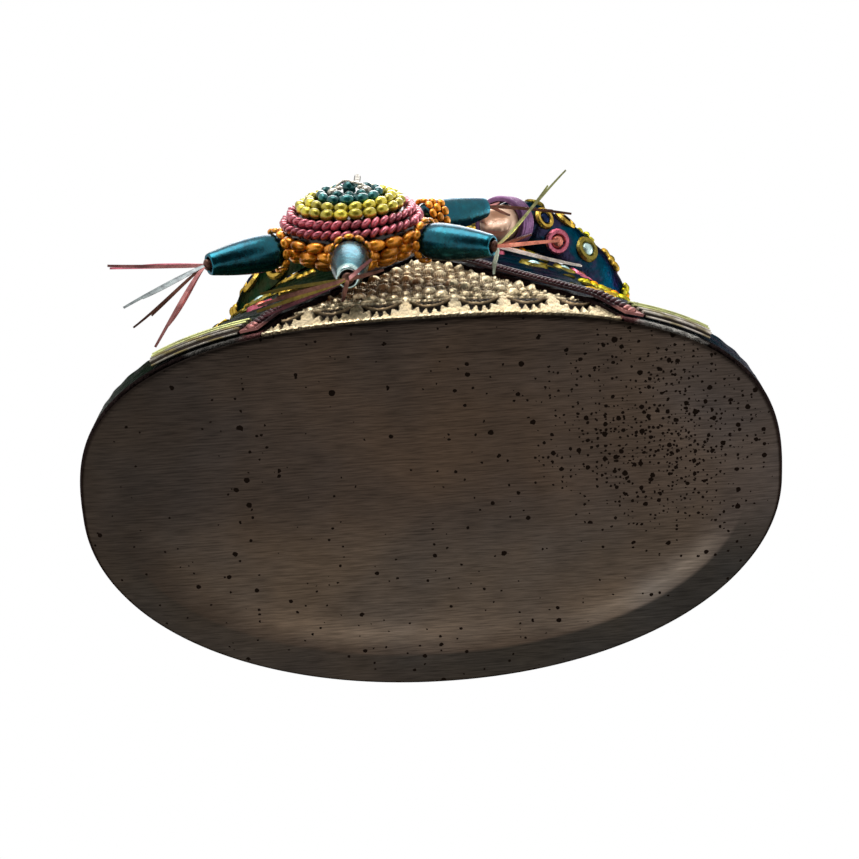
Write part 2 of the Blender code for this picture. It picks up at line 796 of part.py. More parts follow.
def shell_inside(depth, way):
    """Inner face of a shell half, from near the axis out to the seam."""
    wide = BALL_RADIUS - SHELL_WALL - 2 * BEAD_RADIUS
    deep = depth - SHELL_WALL - 2 * BEAD_RADIUS - CLEARANCE
    spots = [(0.25 * wide, deep), (0.75 * wide, 0.66 * deep), (wide, CLEARANCE / 2)]
    return [bead_ring(r, way * h, BALL_BEADS, 0.0, 0) for r, h in spots]


def make_rear_shell(parent):
    rings = shell_inside(REAR_DEPTH, -1)
    rings.append(bead_ring(BALL_RADIUS - BEAD_BULGE, -CLEARANCE / 2, BALL_BEADS, 0.0, 0))
    for row in range(3):
        arc = BEAD_RADIUS * (2 * row + 1)
        radius, height = dome_spot(arc, REAR_DEPTH, 0.0)
        rings.append(bead_ring(radius, -height, BALL_BEADS, BEAD_BULGE, row))
        radius, height = dome_spot(arc + BEAD_RADIUS, REAR_DEPTH, BEAD_BULGE)
        rings.append(bead_ring(radius, -height, BALL_BEADS, 0.0, 0))
    rings.append(bead_ring(BALL_RADIUS * 0.2, -REAR_DEPTH, BALL_BEADS, 0.0, 0))
    place("pinata_rear_shell", loft(rings), "orange", parent)


def make_front_shell(parent):
    floor = 2 * BEAD_RADIUS + CLEARANCE
    rings = shell_inside(FRONT_DEPTH, 1)
    rings.append(bead_ring(BALL_RADIUS - BEAD_BULGE, CLEARANCE / 2, BALL_BEADS, 0.0, 0))
    radius, height = dome_spot(BEAD_RADIUS, FRONT_DEPTH, 0.0)
    rings.append(bead_ring(radius, height, BALL_BEADS, BEAD_BULGE, 0))
    radius, height = dome_spot(2 * BEAD_RADIUS, FRONT_DEPTH, BEAD_BULGE)
    rings.append(bead_ring(radius, height, BALL_BEADS, 0.0, 0))
    for arc in (2, 5, 8, 11):
        radius, height = dome_spot(arc * BEAD_RADIUS, FRONT_DEPTH, floor)
        rings.append(bead_ring(radius, height, BALL_BEADS, 0.0, 0))
    rings.append(bead_ring(BALL_RADIUS * 0.1, FRONT_DEPTH - floor, BALL_BEADS, 0.0, 0))
    place("pinata_front_shell", loft(rings), "orange", parent)


def row_section(rows):
    """Outline of one or two neighbouring bead rows, as radius and height pairs round their middle."""
    spots = [Vector(dome_spot(arc, FRONT_DEPTH, BEAD_RADIUS)) for arc in rows]
    middle = sum(spots, Vector((0, 0))) / len(spots)
    if len(spots) == 1:
        return middle, [BEAD_RADIUS * Vector((math.cos(a), math.sin(a))) for a in turns(7)]
    along = (spots[1] - spots[0]).normalized()
    normal = Vector((-along.y, along.x))
    section = []
    for spot, way in zip(spots, (-1, 1)):
        for swing in (-90, -30, 30, 90):
            a = math.radians(swing)
            point = spot + BEAD_RADIUS * way * (math.cos(a) * along + math.sin(a) * normal)
            section.append(point - middle)
    return middle, section


def make_bead_row(name, rows, beads, finish, parent):
    middle, section = row_section(rows)
    sections = []
    for i, turn in enumerate(turns(2 * beads)):
        scale = 1.0 if i % 2 == 0 else BEAD_WAIST
        ring = []
        for offset in section:
            radius, height = middle + offset * scale
            ring.append(Vector((radius * math.cos(turn), -height, radius * math.sin(turn))))
        sections.append(ring)
    place(name, hoop(sections), finish, parent)


def make_bead_rows(parent):
    """Rings of beads from the rim inwards, and the flower in the middle."""
    step = 2 * BEAD_RADIUS
    gap = step + CLEARANCE
    pink = BEAD_RADIUS + gap
    yellow = pink + step + gap
    teal = yellow + step + gap
    make_bead_row("pinata_pink_ring", (pink, pink + step), PINK_BEADS, "pink", parent)
    make_bead_row("pinata_yellow_ring", (yellow, yellow + step), YELLOW_BEADS, "yellow", parent)
    make_bead_row("pinata_teal_ring", (teal,), TEAL_BEADS, "teal", parent)
    edge = dome_spot(teal + BEAD_RADIUS + CLEARANCE, FRONT_DEPTH, BEAD_RADIUS)[0]
    low = FRONT_DEPTH - 2 * BEAD_RADIUS
    petals = edge - BEAD_BULGE
    levels = (
        (0.7 * petals, low, 0.0),
        (petals, low + 0.5 * BEAD_RADIUS, BEAD_BULGE),
        (0.95 * petals, low + 1.3 * BEAD_RADIUS, BEAD_BULGE),
        (0.6 * petals, low + 1.5 * BEAD_RADIUS, 0.0),
        (0.5 * petals, low + 2.2 * BEAD_RADIUS, 0.0),
        (0.2 * petals, low + 2.6 * BEAD_RADIUS, 0.0),
    )
    rings = [bead_ring(r, h, CENTRE_BEADS, bulge, 0) for r, h, bulge in levels]
    place("pinata_centre", loft(rings), "silver", parent)


def aim(obj, angle):
    """Turns a piece built along +Z to point outwards, angle counted from straight down."""
    obj.rotation_euler = (0, math.pi - math.radians(angle), 0)


def make_cone(number, angle, parent):
    foot = RIM_RADIUS + CLEARANCE
    tip = foot + CONE_LENGTH
    levels = (
        (CONE_FOOT_RADIUS, foot),
        (CONE_RADIUS, foot + 0.2 * CONE_LENGTH),
        (0.9 * CONE_RADIUS, foot + 0.5 * CONE_LENGTH),
        (0.72 * CONE_RADIUS, foot + 0.8 * CONE_LENGTH),
        (CONE_TIP_RADIUS, tip),
        (BORE_RADIUS, tip),
        (BORE_RADIUS, tip - BORE_DEPTH),
    )
    cone = place(f"pinata_cone_{number}", loft([circle(r, z, CONE_SIDES) for r, z in levels]), "teal", parent)
    aim(cone, angle)


def make_collar(number, angle, parent):
    radius = (CONE_RADIUS + CONE_FOOT_RADIUS) / 2 + CLEARANCE + COLLAR_RADIUS
    height = RIM_RADIUS + CLEARANCE + COLLAR_RADIUS
    sections = []
    for i, turn in enumerate(turns(2 * COLLAR_BEADS)):
        thick = COLLAR_RADIUS * (1.0 if i % 2 == 0 else BEAD_WAIST)
        section = []
        for a in turns(6):
            reach = radius + thick * math.cos(a)
            z = height + thick * math.sin(a)
            section.append(Vector((reach * math.cos(turn), reach * math.sin(turn), z)))
        sections.append(section)
    collar = place(f"pinata_collar_{number}", hoop(sections), "orange", parent)
    aim(collar, angle)


def foil_strip(bm, root, out, length, splay, sag):
    """Grows one strip from a side of the knot: outwards at first, then along the cone and down."""
    corners = [vert.co.copy() for vert in root]
    middle = sum(corners, Vector()) / 4
    wide = (corners[1] - corners[0]) / 2
    axis = Vector((0, 0, 1))
    row = root
    for i in range(FOIL_STEPS):
        run = (i + 0.5) / FOIL_STEPS
        lean = splay + (math.pi / 2 - splay) * max(1 - run * length / FOIL_BEND, 0.0)
        ahead = (out * math.sin(lean) + axis * math.cos(lean) + sag * run).normalized()
        thick = ahead.cross(wide).normalized() * FOIL_THICKNESS / 2
        middle = middle + ahead * length / FOIL_STEPS
        spots = (middle - wide - thick, middle + wide - thick, middle + wide + thick, middle - wide + thick)
        fresh = [bm.verts.new(spot) for spot in spots]
        bridge(bm, row, fresh)
        row = fresh
    bm.faces.new(row)


def make_tassel(number, angle, parent):
    """A knot plugged in the cone tip with foil strips growing from its six sides."""
    tip = RIM_RADIUS + CLEARANCE + CONE_LENGTH
    plug = BORE_RADIUS - CLEARANCE
    knot = tip + CLEARANCE
    levels = (
        (plug, tip - BORE_DEPTH + CLEARANCE),
        (plug, knot),
        (FOIL_WIDTH, knot),
        (FOIL_WIDTH, knot + FOIL_THICKNESS),
    )
    bm = bmesh.new()
    rows = add_rows(bm, [circle(r, z, 6) for r, z in levels])
    bm.faces.new(reversed(rows[0]))
    bridge(bm, rows[0], rows[1])
    bridge(bm, rows[1], rows[2])
    bm.faces.new(rows[3])
    splay, rear_splay, lengths = FOILS[angle]
    turn = math.radians(angle)
    sag = Vector((math.sin(turn), 0, math.cos(turn))) * FOIL_SAG
    if angle == 0:
        sag = Vector((0, LOW_FOIL_LEAN, 0))
    for i, length in enumerate(lengths):
        j = (i + 1) % 6
        side = [rows[2][i], rows[2][j], rows[3][j], rows[3][i]]
        if not length:
            bm.faces.new(side)
            continue
        middle = (side[0].co + side[1].co) / 2
        out = Vector((middle.x, middle.y, 0)).normalized()
        spread = math.radians(rear_splay if out.y > 0.5 else splay)
        foil_strip(bm, side, out, length * MM, spread, sag)
    tassel = place(f"pinata_tassel_{number}", bm, "foil", parent)
    aim(tassel, angle)


def make_pinata():
    sway = axis_empty("jump_ring_axis", Vector((PINATA_X, PINATA_Y, SWAY_Z)))
    swing = axis_empty("pinata_axis", Vector((0, 0, SWING_Z - SWAY_Z)), sway)
    ball = axis_empty("pinata_middle", Vector((0, 0, PINATA_Z - SWING_Z)), swing)
    make_jump_ring(sway)
    make_eye("pinata_eye", LINK_RADIUS, Vector((0, 1, 0)), Vector((0, 0, EYE_LOW_Z - PINATA_Z)), ball)
    make_rear_shell(ball)
    make_front_shell(ball)
    make_bead_rows(ball)
    for number, angle in enumerate(CONE_ANGLES, start=1):
        make_cone(number, angle, ball)
        make_collar(number, angle, ball)
        make_tassel(number, angle, ball)


def make_clothes():
    make_base_plate()
    make_robe_front()
    make_coat_back()
    for name, side in (("left", 1), ("right", -1)):
        make_coat_front(name, side)
        make_edge_trim(name, side)
        make_hem_band(name, side)
    make_shoulder_yoke()


def make_arms(space):
    for name, side in (("left", 1), ("right", -1)):
        make_sleeve(name, side, space)
        make_cuff(name, side, space)
        hand = make_hand(name, side, space)
        if side < 0:
            make_hand_staple(hand)


def make_head_and_hat(space):
    head_space = make_head()
    moustache_space = make_moustache(head_space)
    make_beard((space, head_space, moustache_space))
    make_hair_back()
    make_hat()
    make_hat_top()


clear_scene()
make_clothes()
body_space = figure_space()
make_arms(body_space)
make_head_and_hat(body_space)
make_pinata()
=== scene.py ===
# Looks of the santa ornament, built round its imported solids.
# Shapes are worked out in millimetres and turned into metres when a mesh is made.

import math

import bmesh
import bpy
import numpy as np
from mathutils import Matrix, Vector


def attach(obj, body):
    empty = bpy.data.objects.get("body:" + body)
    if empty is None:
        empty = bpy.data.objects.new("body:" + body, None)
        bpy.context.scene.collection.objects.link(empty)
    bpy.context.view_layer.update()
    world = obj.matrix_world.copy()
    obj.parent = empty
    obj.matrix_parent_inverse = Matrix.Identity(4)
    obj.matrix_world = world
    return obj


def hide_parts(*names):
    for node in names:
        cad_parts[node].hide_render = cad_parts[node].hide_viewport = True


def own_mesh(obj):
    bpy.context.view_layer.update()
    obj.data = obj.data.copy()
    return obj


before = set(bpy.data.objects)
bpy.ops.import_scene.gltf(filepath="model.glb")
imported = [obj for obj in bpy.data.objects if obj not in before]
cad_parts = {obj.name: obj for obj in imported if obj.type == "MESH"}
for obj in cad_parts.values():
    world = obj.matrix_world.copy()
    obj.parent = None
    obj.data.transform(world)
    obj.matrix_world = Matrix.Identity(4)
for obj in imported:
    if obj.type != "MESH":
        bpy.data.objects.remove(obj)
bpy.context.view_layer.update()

MM = 0.001
TURN = 2 * math.pi

# Body sizes of the solids: half width, front and back at the hem and at the shoulders.
HEM = (34.2, 18.6, 20.0)
TOP = (16.4, 9.8, 10.0)
HEM_Z = 6.0
TOP_Z = 72.0
TAPER = 0.87
HEM_POWER = 2.7
TOP_POWER = 2.0
POWER_FADE = 5
BACK_POWER = 2.05
SHELL_Z = 1.1
COAT_INNER = 0.3
COAT_OUTER = 0.8
TRIM_INNER = 1.1
TRIM_FACE = TRIM_INNER + 0.25
OPENING_HALF = 18.0
OPENING_SHIFT = 2.1
OPENING_SLOPE = 0.5
TRIM_WIDTH = 1.7
ROBE_TUCK = 2.0
GAP = 0.3
SIDES = {"left": 1, "right": -1}

# Heights and middles of the head, the hat and the pinata.
HEAD = np.array((0.0, 2.0, 86.5))
HEAD_RADIUS = 7.0
HEAD_HALF_HEIGHT = 8.6
HEAD_TOP = 93.5
HAT_Z = 93.8
HAT_HEIGHT = 14.0
HAT_RADIUS = 6.3
POMPOM = np.array((0.0, 3.5, 110.36))
HANGER = np.array((0.0, 3.5, 118.26))
HANGER_RADIUS = 3.6
BALL = np.array((-6.7, -22.5, 21.0))
BALL_RADIUS = 8.2
FRONT_DEPTH = 5.4
REAR_DEPTH = 3.4
BEAD = 0.6
CONE_ANGLES = (0, 60, 120, 300)
UPPER_CONE = 120
CONE_FOOT = 8.75
CONE_TIP = 16.75
SWAY_Z = 37.25


def ink(red, green, blue):
    """Linear colour of a screen colour given from 0 to 255."""
    share = np.array((red, green, blue)) / 255
    return np.where(share <= 0.04045, share / 12.92, ((share + 0.055) / 1.055) ** 2.4)


# CHAMPAGNE, GROUND and RECESS tint the robe by its relief height. RECESS is the dark used as painted shade
# in recesses, grooves, bores and under beads, and as plain dark paint for pupils and the hearts of bosses.
CHAMPAGNE = ink(228, 210, 172)
GROUND = ink(134, 114, 86)
RECESS = ink(38, 30, 24)
TEAL = ink(22, 66, 76)
NAVY = ink(32, 42, 68)
GREEN = ink(34, 54, 34)
LACQUER = ink(3, 84, 98)
PALE_LACQUER = ink(40, 106, 118)
GOLD = ink(196, 162, 74)
OLIVE = ink(140, 126, 62)
YELLOW = ink(214, 202, 70)
PINK = ink(206, 112, 130)
PLUM = ink(116, 72, 80)
ORANGE = ink(248, 162, 42)
BEAD_TEAL = ink(40, 120, 124)
CYAN = ink(196, 224, 220)
PURPLE = ink(122, 88, 130)
SKIN = ink(240, 200, 172)
ROSE = ink(206, 128, 108)
SILVER = ink(196, 192, 184)
WHITE = ink(226, 222, 212)
RED = ink(150, 34, 34)
BROWN = ink(112, 78, 66)
MAUVE = ink(176, 120, 118)
MIST = ink(164, 176, 178)
LIME = ink(206, 214, 150)


# Small mesh tools. A form is a pair: points, and faces that index them.

def unit(vector):
    vector = np.asarray(vector, float)
    return vector / np.linalg.norm(vector, axis=-1, keepdims=True)


def smooth(low, high, value):
    share = np.clip((value - low) / (high - low), 0, 1)
    return share * share * (3 - 2 * share)


def turns(count):
    return np.linspace(0, TURN, count, endpoint=False)


def shares(count):
    return np.linspace(0, 1, count)


def joined(*columns):
    """Points from their coordinates."""
    return np.stack(np.broadcast_arrays(*columns), -1)


def dome(distance, radius):
    return np.sqrt(np.clip(1 - (distance / radius) ** 2, 0, 1))


def ridge(distance, width):
    return np.exp(-(distance / width) ** 2)


def ring(radius, z, around):
    """Points of level circles round the vertical axis."""
    return joined(radius * np.cos(around), radius * np.sin(around), z)


def swung(across, up, turn):
    """The direction at an angle from across towards up."""
    return np.asarray(across) * math.cos(turn) + np.asarray(up) * math.sin(turn)


def skin(rings, loop=False, poles=None):
    """A closed form over rings of equal count; loop joins the last ring to the first."""
    rings = np.asarray(rings, float)
    count, sides = rings.shape[:2]
    points = rings.reshape(-1, 3)
    grid = np.arange(count * sides).reshape(count, sides)
    rows = np.vstack([grid, grid[:1]]) if loop else grid
    low, high = rows[:-1], rows[1:]
    quads = np.stack([low, np.roll(low, -1, 1), np.roll(high, -1, 1), high], -1)
    faces = quads.reshape(-1, 4).tolist()
    if loop:
        return points, faces
    ends = poles if poles is not None else (rings[0].mean(0), rings[-1].mean(0))
    points = np.vstack([points, ends])
    first, last = count * sides, count * sides + 1
    for i in range(sides):
        j = (i + 1) % sides
        faces.append([first, grid[0, j], grid[0, i]])
        faces.append([last, grid[-1, i], grid[-1, j]])
    return points, faces


def grid_faces(index):
    cells = np.stack([index[:-1, :-1], index[:-1, 1:], index[1:, 1:], index[1:, :-1]], -1)
    return cells.reshape(-1, 4).tolist()


def border(index):
    """Indices once round the edge of a grid."""
    return np.concatenate([index[0, :-1], index[:-1, -1], index[-1, :0:-1], index[:0:-1, 0]])


def sheet_form(outer, inner):
    """A closed sheet; the inner grid may have a whole number of times fewer cells each way."""
    front = np.arange(outer.shape[0] * outer.shape[1]).reshape(outer.shape[:2])
    back = front.size + np.arange(inner.shape[0] * inner.shape[1]).reshape(inner.shape[:2])
    faces = grid_faces(front) + [face[::-1] for face in grid_faces(back)]
    rim, hem = border(front), border(back)
    ratio = len(rim) // len(hem)
    for i, near in enumerate(hem):
        far = hem[(i + 1) % len(hem)]
        fan = [rim[(i * ratio + k) % len(rim)] for k in range(ratio + 1)]
        faces.extend([near, b, a] for a, b in zip(fan, fan[1:]))
        faces.append([near, far, fan[-1]])
    return np.vstack([outer.reshape(-1, 3), inner.reshape(-1, 3)]), faces


def sweep(path, radii, sides, side=(0, 0, 1), flat=1.0):
    """Rings square to a path; flat squeezes them away from the side direction."""
    path = np.asarray(path, float)
    ahead = unit(np.gradient(path, axis=0))
    radii = np.broadcast_to(radii, len(path))
    around = turns(sides)[:, None]
    side = np.array(side, float)
    rings = []
    for point, way, radius in zip(path, ahead, radii):
        side = unit(side - way * (side @ way))
        up = np.cross(way, side)
        rings.append(point + radius * (np.cos(around) * side + flat * np.sin(around) * up))
    return np.array(rings)


def bezier(controls, count):
    share = shares(count)[:, None]
    chain = [np.asarray(control, float) * np.ones_like(share) for control in controls]
    while len(chain) > 1:
        chain = [a + (b - a) * share for a, b in zip(chain, chain[1:])]
    return chain[0]


def ball_form(sides, levels):
    angles = np.linspace(-math.pi / 2, math.pi / 2, levels + 2)[1:-1]
    rings = [ring(math.cos(angle), math.sin(angle), turns(sides)) for angle in angles]
    return skin(rings, poles=((0, 0, -1), (0, 0, 1)))


def torus_form(centre, radius, wire, across, up, steps, sides):
    """A wire ring in the plane of two directions."""
    across, up = unit(across), unit(up)
    flat = np.cross(across, up)
    around = turns(sides)[:, None]
    rings = []
    for turn in turns(steps):
        reach = radius + wire * np.cos(around)
        rings.append(centre + swung(across, up, turn) * reach + flat * wire * np.sin(around))
    return skin(rings, loop=True)


BALL_SMALL = ball_form(8, 5)
BALL_FINE = ball_form(14, 9)
SHARP_ANGLE = math.radians(55)


def placed(name, data):
    """A new object in the scene."""
    obj = bpy.data.objects.new(name, data)
    bpy.context.scene.collection.objects.link(obj)
    return obj


class Piece:
    """Collects closed islands, each with its tint, for one object."""

    def __init__(self):
        self.points = []
        self.faces = []
        self.tints = []
        self.count = 0

    def add(self, form, tint, plain=False):
        """Adds a form; a plain one keeps its tint where the finish drifts in colour."""
        points, faces = form
        tints = np.empty((len(points), 4), np.float32)
        tints[:, :3] = tint
        tints[:, 3] = plain
        self.points.append(np.asarray(points, float))
        self.tints.append(tints)
        self.faces.extend([[i + self.count for i in face] for face in faces])
        self.count += len(points)
        return self

    def add_ball(self, centre, axes, tint, form=BALL_SMALL, plain=False):
        """An ellipsoid; axes is a radius, three half sizes or three half axes as rows."""
        axes = np.asarray(axes, float)
        if axes.ndim < 2:
            axes = np.eye(3) * axes
        self.add((np.asarray(centre) + form[0] @ axes, form[1]), tint, plain)

    def add_bead(self, place, along, out, sizes, tint, form=BALL_SMALL, plain=False):
        """A long ball: half sizes along, across and out."""
        ways = np.array([along, np.cross(out, along), out])
        self.add_ball(place, np.reshape(sizes, (3, 1)) * ways, tint, form, plain)

    def build(self, node, ending, material, slot, carrier="figure", stem=None):
        """Makes the object, with its body and node; a stem starts its name in place of the node. The slot
        is not used.
        """
        name = f"{stem or node}_{ending}"
        mesh = bpy.data.meshes.new(name)
        mesh.from_pydata((np.vstack(self.points) * MM).tolist(), [], self.faces)
        tint = mesh.attributes.new("tint", "FLOAT_COLOR", "POINT")
        tint.data.foreach_set("color", np.vstack(self.tints).ravel())
        bm = bmesh.new()
        bm.from_mesh(mesh)
        bmesh.ops.recalc_face_normals(bm, faces=bm.faces)
        bm.to_mesh(mesh)
        bm.free()
        mesh.shade_smooth()
        mesh.set_sharp_from_angle(angle=SHARP_ANGLE)
        mesh.materials.append(MATERIALS[material])
        obj = placed(name, mesh)
        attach(obj, carrier)
        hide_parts(node)
        return obj


def fused(piece, voxel, rounds):
    """Melts the islands of a piece into one skin and returns it as a form."""
    mesh = bpy.data.meshes.new("melt")
    mesh.from_pydata(np.vstack(piece.points).tolist(), [], piece.faces)
    obj = placed("melt", mesh)
    melt = obj.modifiers.new("melt", "REMESH")
    melt.mode = "VOXEL"
    melt.voxel_size = voxel
    obj.modifiers.new("ease", "SMOOTH").iterations = rounds
    result = obj.evaluated_get(bpy.context.evaluated_depsgraph_get()).to_mesh()
    points = np.array([vert.co for vert in result.vertices])
    faces = [list(face.vertices) for face in result.polygons]
    bpy.data.objects.remove(obj)
    bpy.data.meshes.remove(mesh)
    return points, faces


# The body surface.

def rise(z):
    return np.clip((z - HEM_Z) / (TOP_Z - HEM_Z), 0, 1)


def section(z, offset):
    share = (1 - rise(z)) ** TAPER
    return [top + (hem - top) * share + offset for hem, top in zip(HEM, TOP)]


def front_power(z):
    return TOP_POWER + (HEM_POWER - TOP_POWER) * (1 - rise(z)) ** POWER_FADE


def oval(phi, half, front, back, power):
    """A rounded oval; phi is 0 at the front and a quarter turn at +X."""
    across, along = np.sin(phi), np.cos(phi)
    power = np.where(along > 0, power, BACK_POWER)
    reach = (np.abs(across) ** power + np.abs(along) ** power) ** (-1 / power)
    return half * across * reach, -np.where(along > 0, front, back) * along * reach


def body(phi, z, offset):
    phi, z, offset = np.broadcast_arrays(*(np.asarray(a, float) for a in (phi, z, offset)))
    x, y = oval(phi, *section(z, offset), front_power(z))
    return joined(x, y, z)


def body_frame(phi, z, offset):
    """A place on the body with its directions across, up and out."""
    across = unit(body(phi + 0.01, z, offset) - body(phi - 0.01, z, offset))
    up = unit(body(phi, z + 0.1, offset) - body(phi, z - 0.1, offset))
    out = unit(np.cross(across, up))
    return body(phi, z, offset), across, np.cross(out, across), out


def front_angle(x, z):
    share = np.clip(x / section(z, COAT_OUTER)[0], -1, 1)
    power = front_power(z)
    return np.arctan2(share, (1 - np.abs(share) ** power) ** (1 / power))


def coat_edge(z, side):
    half = np.maximum(OPENING_HALF - OPENING_SLOPE * z, GAP / 2)
    return OPENING_SHIFT * half / OPENING_HALF + side * half


def patch_grid(heights, columns, span):
    """Angles and heights of a grid on the body between the two edges that span gives."""
    z = np.asarray(heights, float)[:, None]
    start, end = span(z)
    share = shares(columns + 1)[None, :]
    return start + (end - start) * share, z + 0 * share


def body_sheet(phi, z, inner, outer, ratio=2):
    """A closed sheet between two depths on the body, with fewer cells on its inner side."""
    return sheet_form(body(phi, z, outer), body(phi[::ratio, ::ratio], z[::ratio, ::ratio], inner))


# Materials.

METAL_EDGE = (0.3, 0.3, 0.3, 1)
PLAIN = (1, 1, 1, 1)


class Nodes:
    """Makes and joins the nodes of a material or a world."""

    def __init__(self, owner):
        owner.use_nodes = True
        self.tree = owner.node_tree

    def feed(self, socket, value):
        if isinstance(value, bpy.types.NodeSocket):
            self.tree.links.new(value, socket)
        else:
            socket.default_value = value

    def node(self, kind, inputs=None, **settings):
        made = self.tree.nodes.new("ShaderNode" + kind)
        for key, value in settings.items():
            setattr(made, key, value)
        for key, value in (inputs or {}).items():
            self.feed(made.inputs[key], value)
        return made

    def maths(self, operation, *values, **settings):
        return self.node("Math", dict(enumerate(values)), operation=operation, **settings).outputs[0]

    def end(self, output, share, first, second):
        """Sends a mix of two shaders to an output."""
        mix = self.node("MixShader", {0: share, 1: first.outputs[0], 2: second.outputs[0]})
        self.feed(self.tree.nodes[output].inputs["Surface"], mix.outputs[0])


class Finish(Nodes):
    """A Principled material and the nodes that feed it."""

    def __init__(self, name, metallic, specular_tint=METAL_EDGE, **plain):
        self.material = bpy.data.materials.new(name)
        super().__init__(self.material)
        self.main = self.tree.nodes["Principled BSDF"]
        for key, value in dict(plain, metallic=metallic, specular_tint=specular_tint).items():
            self.put(key.replace("_", " ").title().replace("Ior", "IOR"), value)
        self.place = self.node("TexCoord").outputs["Object"]

    def put(self, name, value):
        self.feed(self.main.inputs[name], value)

    def noise(self, scale, detail=4.0, stretch=None):
        place = self.place
        if stretch:
            place = self.node("Mapping", {"Vector": place, "Scale": stretch}).outputs[0]
        return self.node("TexNoise", {"Vector": place, "Scale": scale, "Detail": detail}).outputs[0]

    def remap(self, value, low, high, start=0.3, end=0.7, **settings):
        inputs = {"Value": value, "From Min": start, "From Max": end, "To Min": low, "To Max": high}
        return self.node("MapRange", inputs, **settings).outputs[0]

    def ramp(self, share, stops):
        made = self.node("ValToRGB", {"Fac": share})
        elements = made.color_ramp.elements
        for position, _ in stops[2:]:
            elements.new(position)
        for element, (position, colour) in zip(elements, stops):
            element.position = position
            element.color = (*colour, 1)
        return made.outputs[0]

    def mix(self, share, first, second, blend="MIX"):
        made = self.node("Mix", data_type="RGBA", blend_type=blend)
        for index, value in ((0, share), (6, first), (7, second)):
            self.feed(made.inputs[index], value)
        return made.outputs[2]

    def times(self, first, second):
        return self.mix(1.0, first, second, "MULTIPLY")

    def tint(self, part="Color"):
        return self.node("Attribute", attribute_name="tint").outputs[part]

    def surface(self, colour, rough, *bumps):
        """Sets the colour, the roughness and the bumps, each over the last, and gives the material."""
        self.put("Base Color", colour)
        self.put("Roughness", rough)
        below = {}
        for height, depth, strength in bumps:
            inputs = {"Height": height, "Distance": depth * MM, "Strength": strength, **below}
            below = {"Normal": self.node("Bump", inputs).outputs[0]}
        self.put("Normal", below["Normal"])
        return self.material


# Colour drifts: places along a noise and the colours there. All but the last multiply a tint.
EVEN = ((0.35, (0.86, 0.88, 0.92)), (0.65, (1.1, 1.06, 1.0)))
IRIDESCENT = ((0.38, (0.3, 0.9, 1.1)), (0.5, (0.9, 0.8, 1.0)), (0.58, (4.2, 0.6, 1.0)))
# GLINT brightens the foil in patches as painted glints.
GLINT = ((0.35, (1.2, 1.1, 1.1)), (0.65, (2.4, 2.3, 2.2)))
WARM = ((0.35, (0.78, 0.72, 0.7)), (0.65, (1.25, 1.2, 1.05)))
BLUSH = ((0.35, (0.9, 0.84, 0.8)), (0.65, (1.06, 1.04, 1.0)))
TARNISH = ((0.36, (0.94, 0.95, 1.04)), (0.64, (1.1, 1.0, 0.94)))
DRAWN = ((0.3, ink(104, 100, 94)), (0.7, ink(186, 182, 174)))
# Corrosion spots of the plate: colour, unevenness, place of the crowd.
SPOT = (*ink(20, 14, 10), 1)
SPOT_SHAKE = (0.00025, 0.00025, 0.0)
SPOT_CROWD = (0.0225, -0.0065, 0.0)


def lacquered(name, metallic, drift, rough, grain, depth, **plain):
    """Tinted lacquer on pressed metal, its colour drifting from place to place."""
    finish = Finish(name, metallic, **plain)
    wander = finish.mix(finish.tint("Alpha"), finish.ramp(finish.noise(330), drift), PLAIN)
    mottle = finish.remap(finish.noise(1500), 0.72, 1.2)
    colour = finish.times(finish.times(finish.tint(), wander), mottle)
    fine = finish.noise(grain, 6.0)
    return finish.surface(colour, finish.remap(fine, *rough), (fine, depth, 1.0))


def add_spots(finish, colour, place, scale, share, reach):
    """Lays dark corrosion spots over a colour; returns the colour and the mask of the spots."""
    cells = finish.node("TexVoronoi", {"Vector": place, "Scale": scale}, voronoi_dimensions="2D")
    draw = finish.node("SeparateColor", {0: cells.outputs["Color"]})
    there = finish.maths("LESS_THAN", draw.outputs[0], share)
    size = finish.remap(draw.outputs[1], *reach, 0.0, 1.0)
    spot = finish.maths("MULTIPLY", there, finish.maths("LESS_THAN", cells.outputs["Distance"], size))
    return finish.mix(spot, colour, SPOT), spot


def brushed_plate():
    """Dark brushed metal with tarnish, the painted reflections and shade of its tint, and a crowd of black
    spots to one side.
    """
    finish = Finish("brushed_plate", 1.0)
    fine = finish.noise(1.0, 6.0, (420, 6000, 100))
    broad = finish.noise(1.0, 4.0, (60, 1500, 100))
    cloud = finish.noise(110, 5.0)
    colour = finish.times(finish.tint(), finish.ramp(finish.noise(65, 3.0), TARNISH))
    for grain, low, high in ((fine, 0.6, 1.4), (broad, 0.9, 1.1), (cloud, 0.84, 1.16)):
        colour = finish.times(colour, finish.remap(grain, low, high))
    away = finish.node("VectorMath", {0: finish.place, 1: SPOT_CROWD}, operation="DISTANCE")
    crowd = finish.remap(away.outputs["Value"], 0.75, 0.03, 0.001, 0.0135)
    patchy = finish.maths("MULTIPLY", crowd, finish.remap(finish.noise(220), 0.3, 1.3))
    sparse = finish.maths("MULTIPLY_ADD", crowd, 0.45, 0.07)
    wander = finish.node("TexNoise", {"Vector": finish.place, "Scale": 2500.0}).outputs["Color"]
    shake = finish.node("VectorMath", {0: wander, 1: SPOT_SHAKE}, operation="MULTIPLY")
    place = finish.node("VectorMath", {0: finish.place, 1: shake.outputs[0]}).outputs[0]
    kinds = ((2300, patchy, (0.12, 0.36)), (1150, patchy, (0.1, 0.32)), (330, sparse, (0.05, 0.11)))
    pits = 0.0
    for scale, share, reach in kinds:
        colour, spot = add_spots(finish, colour, place, scale, share, reach)
        pits = finish.maths("SUBTRACT", pits, spot)
    rough = finish.remap(fine, 0.32, 0.5)
    return finish.surface(colour, rough, (fine, 0.02, 1.0), (pits, 0.05, 0.6), (cloud, 0.4, 0.3))


def washed(finish, scale, drift, grain, rough, bump):
    """A tint under a wash of drifting colour."""
    colour = finish.times(finish.tint(), finish.ramp(finish.noise(scale), drift))
    return finish.surface(colour, finish.remap(finish.noise(grain), *rough), bump)


